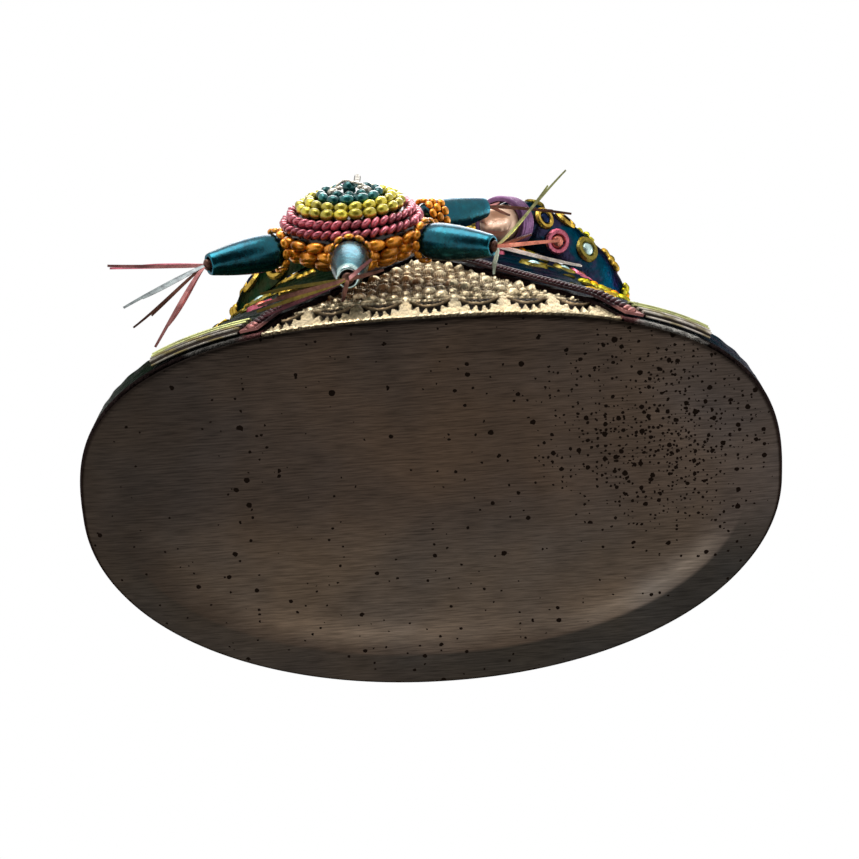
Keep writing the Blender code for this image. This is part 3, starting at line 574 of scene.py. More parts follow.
def crinkled_foil():
    finish = Finish("crinkled_foil", 0.35)
    fold = finish.node("TexVoronoi", {"Vector": finish.place, "Scale": 900}).outputs["Distance"]
    return washed(finish, 900, GLINT, 2500, (0.2, 0.38), (fold, 0.05, 0.5))


def painted_skin():
    finish = Finish("painted_skin", 0.15)
    return washed(finish, 420, BLUSH, 1800, (0.34, 0.5), (finish.noise(3200), 0.03, 1.0))


def polished_wire():
    finish = Finish("polished_wire", 1.0)
    draw = finish.noise(2600, 5.0)
    return finish.surface(finish.ramp(draw, DRAWN), finish.remap(draw, 0.18, 0.34), (draw, 0.012, 1.0))


MATERIALS = {
    "plate": brushed_plate(),
    "pewter": lacquered("pressed_pewter", 0.75, EVEN, (0.28, 0.5), 3600, 0.05),
    "coat": lacquered(
        "coat_lacquer", 0.8, IRIDESCENT, (0.22, 0.4), 2600, 0.09,
        specular_ior_level=0.0, specular_tint=(0.1, 0.1, 0.1, 1)),
    "bead": lacquered("bead_lacquer", 0.6, WARM, (0.2, 0.36), 2200, 0.05, coat_weight=0.6),
    "cone": lacquered(
        "cone_lacquer", 0.9, EVEN, (0.16, 0.3), 1800, 0.04, coat_weight=0.4, coat_roughness=0.24),
    "trim": lacquered("trim_lacquer", 0.6, WARM, (0.26, 0.46), 3000, 0.05),
    "hair": lacquered("frosted_hair", 0.25, EVEN, (0.34, 0.55), 3400, 0.05),
    "foil": crinkled_foil(),
    "skin": painted_skin(),
    "wire": polished_wire(),
}


# Base plate and clothes.

PLATE = (34.7, 19.1, 20.5)
PLATE_TOP = 0.8
PLATE_MIDDLE = 18.6
# Rings of the plate: inset, height. The soft ones lie lower towards -X.
PLATE_FLAT = [(inset, 0.0) for inset in (PLATE_MIDDLE, 17, 15, 13, 11, 9.5, 8, 7, 6, 5, 4.4, 4.0, 3.7)]
PLATE_SOFT = [(3.5, 0.03), (3.3, 0.05), (2.8, 0.07), (2.0, 0.11)]
PLATE_EDGE = [
    (1.2, 0.17), (0.6, 0.22), (0.3, 0.27), (0.1, 0.36), (0.0, 0.48), (0.1, 0.62), (0.35, 0.75),
    (0.8, PLATE_TOP), (4.0, PLATE_TOP)]


def plate_tint_with_painted_light(x, y, inset):
    """Colour of the plate with painted reflections and shade: painted shade towards -X, at the crease and
    along the rim; painted highlights towards +X and in a soft bow at the back.
    """
    tint = ink(67, 57, 48)
    right = smooth(-14, 10, x)
    layers = (
        (smooth(-6, -32, x), ink(53, 47, 41)),
        (smooth(8, 30, x), ink(74, 66, 59)),
        (smooth(-2, 8, y) * smooth(4.5, 8, inset), ink(76, 67, 57)),
        (ridge(inset - 6.2, 2.4) * smooth(4, 14, y) * (0.5 + 0.5 * right), ink(88, 78, 67)),
        (ridge(inset - 6.1, 1.3) * ridge(x + 8, 9) * smooth(6, 14, y), ink(112, 99, 84)),
        (ridge(inset - 4.9, 1.2) * ridge(x - 24, 9) * smooth(3, 9, y), ink(118, 108, 95)),
        (smooth(3.7, 3.3, inset) * smooth(0, 9, y) * (0.6 + 0.4 * right), ink(50, 47, 42)),
        (smooth(0.35, 0.05, inset), ink(34, 29, 25)),
    )
    for share, colour in layers:
        tint = tint + (colour - tint) * np.reshape(share, (-1, 1))
    return tint


def make_base_plate():
    """The closing plate: flat, with a soft rolled rim that lifts a little."""
    rings = []
    for inset, z in PLATE_FLAT + PLATE_SOFT + PLATE_EDGE:
        x, y = oval(turns(240), *(size - inset for size in PLATE), HEM_POWER)
        lift = z * (0.3 + 0.7 * smooth(-16, 4, x)) if (inset, z) in PLATE_SOFT else z
        rings.append(joined(x, y, lift, inset))
    rings = np.array(rings)
    # The ring tints carry the plate's painted reflections and shade.
    middle = plate_tint_with_painted_light(0.0, 0.0, PLATE_MIDDLE)
    tints = [plate_tint_with_painted_light(*row[:, [0, 1, 3]].T) for row in rings] + [middle, middle]
    piece = Piece().add(skin(rings[..., :3]), np.vstack(tints))
    piece.build("base_plate", "brushed", "plate", "gunmetal")


SWAG = 4.75
SWAG_AT = 3.4
ARC_Z = 4.3
LASH_STEP = 0.68
LENS_Z = 8.4
FIELD_Z = 10.6
FIELD_STEP = 2.1
ROBE_LOW = 0.2
ROBE_INNER = -0.6
ROBE_FINE_Z = 9.5


def stipple(x, z):
    return np.clip(0.5 + 0.7 * np.sin(x * 8.3 + np.sin(z * 5.1)) * np.sin(z * 9.1 + np.sin(x * 4.3)), 0, 1)


def field_relief(x, z):
    """Height of the staggered domes above the hem, one in three large, each in a low moat that the robe's
    tints paint dark as shade.
    """
    row = np.round((z - FIELD_Z) / FIELD_STEP)
    cell = 2 * (x - SWAG_AT) / SWAG + np.where(row % 2 == 0, 0.5, 0.0)
    away = (cell - np.round(cell)) * SWAG / 2
    lift = z - FIELD_Z - row * FIELD_STEP
    reach = np.hypot(away, lift)
    large = (np.round(cell) + row) % 3 == 0
    radius = np.where(large, 0.8, 0.55)
    ground = (0.16 + 0.16 * stipple(x, z)) * (1 - ridge(reach - radius - 0.12, 0.16))
    net = 0.4 * ridge(np.abs(away) / 1.19 + np.abs(lift) / 1.05 - 1, 0.1)
    return np.maximum.reduce([radius * dome(reach, radius), ground, net])


def hem_relief(x, z):
    """Height of the rough lip, the arcs cut with lashes under them, and the row of lenses above."""
    cell = (x - SWAG_AT) / SWAG
    away = (cell - np.round(cell)) * SWAG
    off = SWAG / 2 - np.abs(away)
    line = ARC_Z + 0.5 * off ** 2
    below = line - z
    plain = 0.55 * smooth(line + 1.1, line + 0.6, z) * smooth(7.3, 6.7, z)
    ground = 0.14 + 0.2 * stipple(x, z)
    face = np.maximum(plain, ground)
    arc = ridge(below, 0.4) * smooth(2.05, 1.85, off)
    fan = off / (1 + 0.12 * np.clip(below, 0, 2))
    lash = np.abs(fan - LASH_STEP * np.round(fan / LASH_STEP))
    wide = 0.31 * (1 - below / (2.7 - 0.4 * off))
    cut = smooth(wide + 0.06, wide - 0.06, lash) * smooth(-0.1, 0.1, below) * smooth(1.75, 1.6, fan)
    lens = np.hypot(off / 1.8, (z - LENS_Z) / 0.95)
    face = face * (1 - np.clip(arc + cut, 0, 1)) * smooth(0.8, 1.0, lens)
    lip = (0.6 + 0.15 * stipple(2 * x, 2 * z)) * ridge(z - 1.3, 0.3)
    rim = 0.5 * ridge(lens - 1.12, 0.12)
    pearls = (
        0.65 * dome(np.hypot(off, z - LENS_Z), 0.5), 0.6 * dome(np.hypot(away, z - 9.0), 0.6),
        0.55 * dome(np.hypot(away, z - 7.3), 0.45))
    return np.maximum.reduce([face, lip, rim, *pearls])


def robe_relief(phi, z):
    x = body(phi, z, 0.0)[..., 0]
    share = smooth(9.4, 9.8, z)
    height = hem_relief(x, z) * (1 - share) + field_relief(x, z) * share
    rough = 0.05 * np.sin(x * 13.7 + 3 * np.sin(z * 7.9)) * np.sin(z * 12.1 + 2 * np.sin(x * 6.7))
    inside = np.minimum(x - coat_edge(z, -1), coat_edge(z, 1) - x)
    height = np.clip(height + rough * smooth(0.1, 0.5, height), 0, 1)
    low = np.minimum(height, ROBE_LOW)
    return low + (height - low) * smooth(0.02, 0.25, inside)


def make_robe_front():
    def span(z):
        return [front_angle(coat_edge(z, side) + side * ROBE_TUCK, z) for side in (-1, 1)]

    top = OPENING_HALF / OPENING_SLOPE + ROBE_TUCK
    fine, coarse = np.linspace(SHELL_Z, ROBE_FINE_Z, 81), np.linspace(ROBE_FINE_Z, top, 161)
    phi, z = patch_grid([*fine[:-1], *coarse], 280, span)
    height = robe_relief(phi, z)
    form = body_sheet(phi, z, ROBE_INNER, height, 4)
    # Tints follow the relief height: low parts are painted dark as shade, in the moats, the lash cuts under
    # the arcs and where the robe tucks under the coat; the stippled ground is brown and the raised parts
    # champagne. Below z 7.4 the height is lowered before the tints are read, deepening the painted shade
    # there.
    tints = np.tile(RECESS * 0.4, (len(form[0]), 1))
    shade = height - 0.17 * smooth(7.4, 6.8, z)
    for low, high, colour in ((0.1, 0.33, GROUND), (0.33, 0.4, CHAMPAGNE)):
        share = smooth(low, high, shade).reshape(-1, 1)
        tints[:height.size] += (colour - tints[:height.size]) * share
    Piece().add(form, tints).build("robe_front", "relief", "pewter", "pewter")


# Kinds of boss: count of petals, colour of the petals or the ring, colour of the heart.
BOSSES = (
    (8, YELLOW * 0.8, ORANGE), (0, GOLD, NAVY), (6, GOLD, OLIVE), (0, PINK, ROSE),
    (0, OLIVE, CYAN), (6, OLIVE, GOLD), (0, GOLD, RECESS))


def add_boss(piece, place, axes, size, kind):
    """A raised flower, or a ring with a dome in it where the kind has no petals."""
    petals, leaf, heart = BOSSES[kind % len(BOSSES)]
    across, up, out = axes
    for turn in turns(petals) + kind:
        way = swung(across, up, turn)
        wide = min(2.1 / petals, 0.4) * size
        sizes = (0.4 * size, wide, 0.24 * size)
        piece.add_bead(place + way * 0.64 * size, way, out, sizes, leaf, plain=True)
    if not petals:
        rim = torus_form(place - out * 0.02, 0.72 * size, 0.24 * size, across, up, 18, 6)
        piece.add(rim, leaf, plain=True)
    wide, high = (0.36, 0.32) if petals else (0.52, 0.3)
    piece.add_ball(place, np.diag((wide, wide, high)) * size @ np.array(axes), heart, plain=True)


COAT_FOOT = 1.5
TRIM_END = 2.6
CORD_STEP = 0.62
SEAM_REACH = 0.12
BAND_REACH = {"left": 7.4, "right": 10.0}
# Painted shade of the coat under the inner half of the trim and along its foot.
EDGE_SHADE = ink(40, 31, 30)
# Tint of the coat's foot under the hem bands: one silver, painted light on the +X side and dark on the -X
# side as light and shade.
FEET = {"left": SILVER * 1.1, "right": SILVER * 0.3}
GROUNDS = {"left": (TEAL, 0.0), "right": (GREEN, 0.8)}
BOSS_ROWS = np.arange(9.0, 70.0, 6.1)
BOSS_STEP = 7.8
BOSS_LOW = {"left": 9.0, "right": 20.0}
BOSS_CLEAR = 3.6
BOSS_SPREAD = math.radians(80)
BACK_SPREAD = np.radians((98, 262))


def add_scroll(piece, phi, z, way):
    """A raised curl that fills the ground beside a flower."""
    share = shares(14)
    radius = 1.1 * (1 - 0.6 * share)
    turn = 0.4 + share * 4.6
    angle = phi + way * (2.8 - radius * np.sin(turn)) / section(z, COAT_OUTER)[0]
    path = body(angle, z + 2.4 + radius * np.cos(turn), COAT_OUTER + 0.06)
    piece.add(skin(sweep(path, 0.24 - 0.12 * share, 6)), OLIVE * 0.4, plain=True)


def dress_sheet(piece, low, high, keep):
    """Bosses and curls at staggered places on the coat between two angles, where keep allows."""
    rng = np.random.default_rng(17)
    for row, level in enumerate(BOSS_ROWS):
        line = body(np.linspace(low, high, 60), level, COAT_OUTER)
        girth = np.linalg.norm(np.diff(line, axis=0), axis=1).sum()
        count = max(int(girth / BOSS_STEP), 1)
        for i in range(count):
            share = (i + 0.5 + (0.25 if row % 2 else -0.25)) / count
            phi = low + (high - low) * (share + rng.uniform(-0.1, 0.1) / count)
            z = level + rng.uniform(-0.5, 0.5)
            if keep(phi, z):
                number = rng.integers(60)
                place, *axes = body_frame(phi, z, COAT_OUTER)
                add_boss(piece, place, axes, 1.35 + 0.12 * (number % 5), number)
                add_scroll(piece, phi, z, 1 if number % 2 else -1)


def add_ground(piece, columns, span, tint, calm=0.0, foot=EDGE_SHADE):
    """The quilted sheet of the coat; calm quiets its drift, foot is its tint under the hem bands."""
    phi, z = patch_grid(np.linspace(SHELL_Z, TOP_Z, 121), columns, span)
    x = phi * 24
    quilt = 0.09 * smooth(2, 7, z) * np.sin(x * 1.7 + z * 0.9) * np.sin(x * 1.7 - z * 0.9)
    form = body_sheet(phi, z, COAT_INNER, COAT_OUTER + quilt)
    x, y, z = form[0].T
    edge = np.minimum(np.abs(x - coat_edge(z, 1)), np.abs(x - coat_edge(z, -1)))
    low = z < COAT_FOOT
    # Under the trim and along the foot the coat is painted dark as shade.
    shaded = low | ((y < 0) & (edge < TRIM_WIDTH / 2))
    banded = low & (y < 0) & (edge < BAND_REACH["left"])
    tints = np.where(shaded[:, None], EDGE_SHADE, tint)
    tints[banded] = np.where(edge[banded, None] < TRIM_WIDTH, MAUVE * 0.7, foot)
    piece.add(form, tints, np.where(shaded, 1.0, calm))


def make_coat_front(name, side):
    def span(z):
        seam = math.pi / 2 - GAP / 2 / section(z, COAT_OUTER)[1]
        return front_angle(coat_edge(z, side), z), side * seam

    def keep(phi, z):
        clear = side * (body(phi, z, COAT_OUTER)[0] - coat_edge(z, side)) > TRIM_WIDTH + BOSS_CLEAR
        return clear and abs(phi) < BOSS_SPREAD and z > BOSS_LOW[name]

    piece = Piece()
    add_ground(piece, 60, span, *GROUNDS[name], FEET[name])
    dress_sheet(piece, *sorted((0.0, side * math.pi / 2)), keep)
    piece.build(f"coat_front_{name}", "lacquer", "coat", "teal" if side > 0 else "green")


def make_coat_back():
    def span(z):
        seam = math.pi / 2 + SEAM_REACH / section(z, COAT_OUTER)[2]
        return math.pi - seam, math.pi + seam

    piece = Piece()
    add_ground(piece, 140, span, NAVY)
    dress_sheet(piece, *BACK_SPREAD, lambda phi, z: True)
    piece.build("coat_back", "lacquer", "coat", "teal")


def make_edge_trim(name, side):
    """A flat strip with a twisted cord along its middle."""
    top = (OPENING_HALF - TRIM_WIDTH) / OPENING_SLOPE

    def span(z):
        edge = coat_edge(z, side)
        return front_angle(edge, z), front_angle(edge + side * TRIM_WIDTH, z)

    strip = body_sheet(*patch_grid(np.linspace(SHELL_Z, top, 61), 6, span), TRIM_INNER, TRIM_FACE)
    # Above TRIM_END the strip and the cord are painted near black as shade; their lowest part keeps the
    # lighter mauve.
    low = strip[0][:, 2:] < TRIM_END
    piece = Piece().add(strip, np.where(low, MAUVE * 0.7, PLUM * 0.22))
    for z in np.arange(SHELL_Z + 0.5, top, CORD_STEP):
        phi = front_angle(coat_edge(z, side) + side * TRIM_WIDTH / 2, z)
        place, across, up, out = body_frame(phi, z, TRIM_FACE)
        slant = unit(across * 0.8 * side + up)
        piece.add_bead(place, slant, out, (0.72, 0.34, 0.32), MAUVE if z < TRIM_END else PLUM * 0.3)
    piece.build(f"edge_trim_{name}", "cord", "trim", "pink")


BAND_HEIGHT = 4.0
BAND_RIB = 0.7
BAND_CHANGE = 2.9
# Lower and upper stripe colours by side; the lower silver is painted light on the +X side and dark on the
# -X side as light and shade.
BAND_TINTS = {"left": (SILVER * 1.5, LIME), "right": (SILVER * 0.5, LIME)}


def make_hem_band(name, side):
    """A striped band: bright ribs over grooves painted dark as shade."""
    def span(z):
        near = coat_edge(z, side) + side * (TRIM_WIDTH + GAP)
        far = coat_edge(0.0, side) + side * BAND_REACH[name]
        return front_angle(near, z), front_angle(far, z)

    phi, z = patch_grid(np.linspace(SHELL_Z, BAND_HEIGHT, 61), 60, span)
    wave = np.cos((z - SHELL_Z) * TURN / BAND_RIB)
    depth = TRIM_INNER + 0.08 + (0.3 + 0.14 * wave) * smooth(-0.2, 0.9, z - SHELL_Z)
    form = body_sheet(phi, z, TRIM_INNER, depth)
    share = smooth(-0.1, 0.6, wave)[..., None]
    streak = smooth(-0.2, 0.9, np.sin(phi * 61 + z * 3))[..., None]
    low, high = BAND_TINTS[name]
    bright = np.where(z[..., None] < BAND_CHANGE, low + (OLIVE - low) * 0.7 * streak, high)
    tints = np.tile(RECESS * 0.6, (len(form[0]), 1))
    tints[:z.size] = (RECESS + (bright - RECESS) * share).reshape(-1, 3)
    Piece().add(form, tints).build(f"hem_band_{name}", "ribbed", "trim", "yellow")


NECK_RADIUS = 5.4
NECK_BACK = 1.5
YOKE_HEIGHT = 6.5
# Bead rows of the yoke: angle up the shoulder, size, tint.
YOKE_BEADS = ((0.12, 0.5, GOLD), (0.75, 0.6, YELLOW), (1.2, 0.5, PINK))


def yoke_ring(swing, grow, sides):
    share = math.cos(swing)
    z = TOP_Z + GAP + YOKE_HEIGHT * math.sin(swing)
    sizes = [NECK_RADIUS + (size - NECK_RADIUS) * share + grow for size in section(TOP_Z, COAT_OUTER)]
    x, y = oval(turns(sides), *sizes, TOP_POWER)
    return joined(x, y + NECK_BACK * (1 - share), z)


def make_yoke():
    """Shoulders with three rows of beads and a rolled collar."""
    shoulders = skin([yoke_ring(swing, 0.0, 72) for swing in np.linspace(0, math.pi / 2, 16)])
    piece = Piece().add(shoulders, TEAL)
    for swing, size, tint in YOKE_BEADS:
        for point in yoke_ring(swing, 0.1, int(44 - 18 * swing)):
            piece.add_ball(point, size, tint, plain=True)
    collar = np.array((0.0, NECK_BACK, TOP_Z + GAP + YOKE_HEIGHT - 0.2))
    roll = torus_form(collar, NECK_RADIUS + 0.3, 0.6, (1, 0, 0), (0, 1, 0), 60, 12)
    piece.add(roll, GOLD, plain=True)
    piece.build("shoulder_yoke", "lacquer", "coat", "teal")


# Arms.

SHOULDER_Z = 71.0
SHOULDER_INSET = 2.5
ELBOW_OUT = 4.5
ELBOW_FORWARD = 0.5
ELBOW_RISE = 3.0
CUFF_LENGTH = 3.2
SLEEVE_RADIUS = 4.2
SLEEVE_MOUTH = 2.7
SLEEVE_SIDES = 48
HAND_RADIUS = 2.15
FINGER_PLACES = (-1.38, -0.46, 0.46, 1.38)
LEFT_Z = 39.5
LEFT_Y = -(section(LEFT_Z, COAT_OUTER)[1] + 0.5 + HAND_RADIUS)
# Aim of the wrist, low point of the hand and rise of the cuff's mouth over it, by side.
ARMS = {
    1: ((-0.45, -0.25, -0.85), (9.4, LEFT_Y, LEFT_Z), (0.5, 1.4, 5.5)),
    -1: ((-0.30, -0.60, -0.74), (-6.7, -21.75, 40.05), (0.6, 2.2, 7.0)),
}


class Arm:
    """Places along one arm, as in the solids."""

    def __init__(self, side):
        flip = np.array((side, 1, 1))
        aim, low, lift = (np.array(row) for row in ARMS[side])
        aim = unit(aim) * flip
        self.side = side
        self.mouth = low + lift * flip
        self.start = self.mouth - aim * CUFF_LENGTH
        bend = low[2] + ELBOW_RISE
        shoulder = np.array((section(SHOULDER_Z, COAT_OUTER)[0] - SHOULDER_INSET, 0, SHOULDER_Z)) * flip
        elbow = np.array((section(bend, COAT_OUTER)[0] + ELBOW_OUT, -ELBOW_FORWARD, bend)) * flip
        wrist = self.start - aim * 1.1
        sleeve = bezier((shoulder, elbow, wrist - aim * 7, wrist), 40)
        self.sleeve = np.vstack([sleeve, wrist + aim * 0.8])
        inside = self.start + 0.2 * (self.mouth - self.start)
        self.hand = bezier((inside, self.mouth + aim * HAND_RADIUS, low), 17)


def pushed_out(points, offset):
    """Moves points that lie in the body out to a layer over it."""
    points = points.copy()
    z = np.minimum(points[..., 2], TOP_Z)
    half, front, back = section(z, offset)
    ahead = points[..., 1] < 0
    power = np.where(ahead, front_power(z), BACK_POWER)
    depth = np.where(ahead, front, back)
    share = np.abs(points[..., 0] / half) ** power + np.abs(points[..., 1] / depth) ** power
    inside = (share < 1) & (points[..., 2] < TOP_Z)
    points[..., :2] *= np.where(inside, share ** (-1 / power), 1.0)[..., None]
    return points


def make_sleeve(name, arm):
    """A folded sleeve with bosses where it stands clear of the coat."""
    share = shares(len(arm.sleeve))
    radii = SLEEVE_RADIUS + (SLEEVE_MOUTH - SLEEVE_RADIUS) * share ** 3
    radii = radii * np.sqrt(np.clip(1 - (1 - share / 0.08) ** 2 * (share < 0.08), 0.02, 1))
    rings = sweep(arm.sleeve, radii, SLEEVE_SIDES, (0, 1, 0))
    middle = arm.sleeve[:, None, :]
    swell, wave = np.sin(share * math.pi)[:, None], np.sin(share * 34)[:, None]
    fold = 1 + 0.045 * wave * np.cos(turns(SLEEVE_SIDES) + 2.2)[None, :] * swell
    rings = middle + (rings - middle) * fold[..., None]
    piece = Piece().add(skin(pushed_out(rings, COAT_OUTER + GAP)), *GROUNDS[name])
    for row, i in enumerate(range(4, 38, 5)):
        along = unit(arm.sleeve[i + 1] - arm.sleeve[i])
        for k in range(5):
            place = rings[i, int(k * 9.6 + (5 if row % 2 else 0)) % SLEEVE_SIDES]
            out = unit(place - arm.sleeve[i])
            if np.allclose(pushed_out(place[None], COAT_OUTER + 1.4)[0], place):
                size = 1.95 * radii[i] / SLEEVE_RADIUS
                add_boss(piece, place, (np.cross(along, out), along, out), size, 2 * row + 3 * k)
    piece.build(f"sleeve_{name}", "lacquer", "coat", "teal")


def make_cuff(name, arm):
    """A ribbed ring with an open mouth."""
    share = shares(25)
    swell = SLEEVE_MOUTH + 0.6 - 0.12 + 0.16 * np.abs(np.sin(share * math.pi * 5))
    path = arm.start + (arm.mouth - arm.start) * share[:, None]
    rings = list(sweep(path, swell, 40, (0, 1, 0)))
    bore = sweep(path, SLEEVE_MOUTH, 40, (0, 1, 0))
    cuff = skin(rings + [bore[-1], bore[12], bore[0]], loop=True)
    Piece().add(cuff, PURPLE).build(f"cuff_{name}", "ribbed", "trim", "purple")


def make_hand(name, arm):
    """A palm, four curled fingers and a thumb, melted into one skin."""
    path = arm.hand
    wide = HAND_RADIUS * np.interp(np.arange(11), (0, 4, 8, 10), (1.15, 1.12, 1.0, 0.8))
    parts = Piece().add(skin(sweep(path[:11], wide, 18, (1, 0, 0), 0.95)), SKIN)
    curl = shares(len(path) - 8) ** 2
    knuckles = 1 + 0.08 * np.sin(np.arange(len(curl)) * 1.9)
    for spread in FINGER_PLACES:
        bend = np.outer(curl, (-0.35 * spread, 0.7, 0.4 * abs(spread)))
        finger = path[8:] + (spread, 0, 0) + bend
        radii = np.linspace(0.6, 0.5, len(finger)) * knuckles
        parts.add(skin(sweep(finger, radii, 10, (1, 0, 0))), SKIN)
        parts.add_ball(finger[-1], 0.5, SKIN)
    spread = np.array((-arm.side * HAND_RADIUS, -HAND_RADIUS / 2, 0))
    thumb = bezier((path[6], path[10] + spread, path[14] + spread * 0.7), 9)
    parts.add(skin(sweep(thumb, np.linspace(0.72, 0.5, 9), 10)), SKIN)
    parts.add_ball(thumb[-1], 0.5, SKIN)
    hand = fused(parts, 0.17, 3)
    Piece().add(hand, SKIN).build(f"hand_{name}", "painted", "skin", "skin")


# Wire fittings.

WIRE = 0.4
STAPLE_BOW = 1.5
STAPLE_TOP = 42.25
LINK_RADIUS = 2.0
LINK_ENDS = np.radians((33, 387))
PINATA_EYE = BALL * (1, 1, 0) + (0, 0, 33.45)
# The flared foot of an eye: radius, height.
EYE_FOOT = (
    (0.8, -0.28), (1.0, -0.15), (1.1, 0.0), (1.12, 0.15), (1.05, 0.35),
    (0.7, 0.52), (0.5, 0.75), (0.43, 1.1), (0.4, 1.5), (0.4, 1.72))


def make_wire(node, carrier, path, side):
    wire = skin(sweep(path, WIRE, 16, side))
    Piece().add(wire, SILVER).build(node, "wire", "wire", "silver", carrier)


def make_links():
    """The bow under the hand, and a bent link on it whose two ends nearly meet."""
    low = np.array((BALL[0], BALL[1], SWAY_Z))
    turn = np.linspace(0, math.pi, 25)
    bow = low + STAPLE_BOW * joined(0.0, -np.cos(turn), 1 - np.sin(turn))
    ends = [(low[0], low[1] + y, STAPLE_TOP) for y in (-STAPLE_BOW, STAPLE_BOW)]
    make_wire("hand_staple", "figure", np.vstack([ends[0], bow, ends[1]]), (1, 0, 0))
    turn = np.linspace(*LINK_ENDS, 60)
    link = LINK_RADIUS * joined(np.cos(turn), 0.0, np.sin(turn))
    make_wire("jump_ring", "jump_ring", low - (0, 0, 0.9) + link, (0, 1, 0))


def make_eye(node, carrier, centre, radius, across):
    """A wire eye on a shank with a flared foot."""
    low = centre - (0, 0, radius + 1.7)
    piece = Piece().add(torus_form(centre, radius, WIRE, across, (0, 0, 1), 64, 16), SILVER)
    piece.add(skin([low + ring(reach, z, turns(28)) for reach, z in EYE_FOOT]), SILVER)
    piece.build(node, "wire", "wire", "silver", carrier)


# Head and hat.

HEAD_SHIFT = HEAD * (0, 1, 0)
CHIN_Z = 79.1
EYE_X = 2.4
EYE_Z = 88.1
# An eye from the white to the pupil: how proud, half sizes, tint.
EYE_LAYERS = (
    (0.0, (1.0, 0.5, 0.6), WHITE), (0.36, (0.42, 0.2, 0.42), ink(70, 50, 36)),
    (0.5, (0.2, 0.1, 0.2), RECESS * 0.3))


def head_reach(z):
    return HEAD_RADIUS * np.sqrt(1 - np.minimum(np.abs(z - HEAD[2]) / HEAD_HALF_HEIGHT, 0.999) ** 2)


def on_face(x, z, proud=0.0):
    """A place on the front of the head."""
    depth = np.sqrt(np.maximum(head_reach(z) ** 2 - np.square(x), 0)) + proud
    return joined(x, HEAD[1] - depth, z)


def make_head():
    """A calm, even face: round cheeks, a short nose, lidded eyes."""
    heights = np.linspace(CHIN_Z, HEAD_TOP, 30)
    parts = Piece().add(skin([ring(head_reach(z), z, turns(48)) + HEAD_SHIFT for z in heights]), SKIN)
    parts.add_ball(on_face(0.0, 87.5, 0.45), (1.25, 1.2, 1.05), SKIN)
    bridge = np.array([on_face(0.0, z, p) for z, p in ((89.4, 0.0), (88.7, 0.2), (88.0, 0.45))])
    parts.add(skin(sweep(bridge, (0.6, 0.65, 0.8), 10, (1, 0, 0))), SKIN)
    for side in SIDES.values():
        parts.add_ball(on_face(side * 0.95, 87.2, 0.1), (0.7, 0.6, 0.6), SKIN)
        parts.add_ball(on_face(side * 3.5, 86.3, -0.75), (1.8, 1.5, 1.5), SKIN)
        for lift, swell in ((0.62, 0.3), (-0.62, 0.22)):
            x = side * (EYE_X + np.linspace(-1.1, 1.1, 9))
            z = EYE_Z + lift * np.cos(np.linspace(-1.35, 1.35, 9))
            parts.add(skin(sweep(on_face(x, z, 0.05), swell, 8)), SKIN)
    points, faces = fused(parts, 0.16, 4)
    x, y, z = points.T
    cheek = ridge(np.abs(x) - 3.6, 1.6) * ridge(z - 86.4, 1.4) * (y < 0)
    nose = ridge(x, 1.3) * ridge(z - 87.4, 1.0) * (y < -5)
    blush = np.clip(cheek + 0.7 * nose, 0, 1)[:, None]
    piece = Piece().add((points, faces), SKIN + (ROSE - SKIN) * blush)
    for side in SIDES.values():
        place = on_face(side * EYE_X, EYE_Z, -0.28)
        for proud, size, tint in EYE_LAYERS:
            piece.add_ball(place - (0, proud, 0), size, tint, BALL_FINE)
    piece.build("head", "painted", "skin", "skin")


def add_lock(piece, path, width, tint):
    """A tapering strand of hair."""
    share = shares(len(path))
    swell = 0.45 + 0.55 * np.sin(math.pi * np.minimum(share * 1.6, 1) * 0.5)
    piece.add(skin(sweep(path, width * swell * (1 - 0.8 * share ** 2), 8, (1, 0, 0.1))), tint)


# The beard from the cheeks to the tip: share of its width, share of its depth, way down.
BEARD_SHAPE = np.array((
    (0.90, 0.66, 0.0), (1.0, 0.84, 0.1), (1.0, 0.95, 0.24), (0.92, 1.0, 0.40),
    (0.78, 1.04, 0.56), (0.60, 1.06, 0.72), (0.40, 1.07, 0.86), (0.16, 1.04, 1.0)))
# Rows of locks: way down at the root, count, length.
BEARD_ROWS = ((0.02, 15, 0.34), (0.2, 15, 0.36), (0.38, 13, 0.36), (0.55, 10, 0.34), (0.7, 7, 0.28))
BEARD_WIDTH = 8.6
BEARD_DEPTH = 9.2
BEARD_TOP = 85.5
BEARD_DROP = 27.0
BEARD_LEAN = 5.6
LIP_ROOM = 2.4


def beard_point(turn, down, grow):
    """A place on the beard: turn from the front, down from 0 at the cheeks to 1 at the tip."""
    wide = np.interp(down, BEARD_SHAPE[:, 2], BEARD_SHAPE[:, 0]) * BEARD_WIDTH + grow
    deep = np.interp(down, BEARD_SHAPE[:, 2], BEARD_SHAPE[:, 1]) * BEARD_DEPTH + HEAD[1] + grow
    x, y = oval(turn, wide, deep, 0.5, HEM_POWER)
    back = LIP_ROOM * smooth(0.2, 0.08, down) * smooth(6.5, 4.5, np.abs(x))
    return joined(x, y + HEAD[1] - BEARD_LEAN * down + back, BEARD_TOP - BEARD_DROP * down)


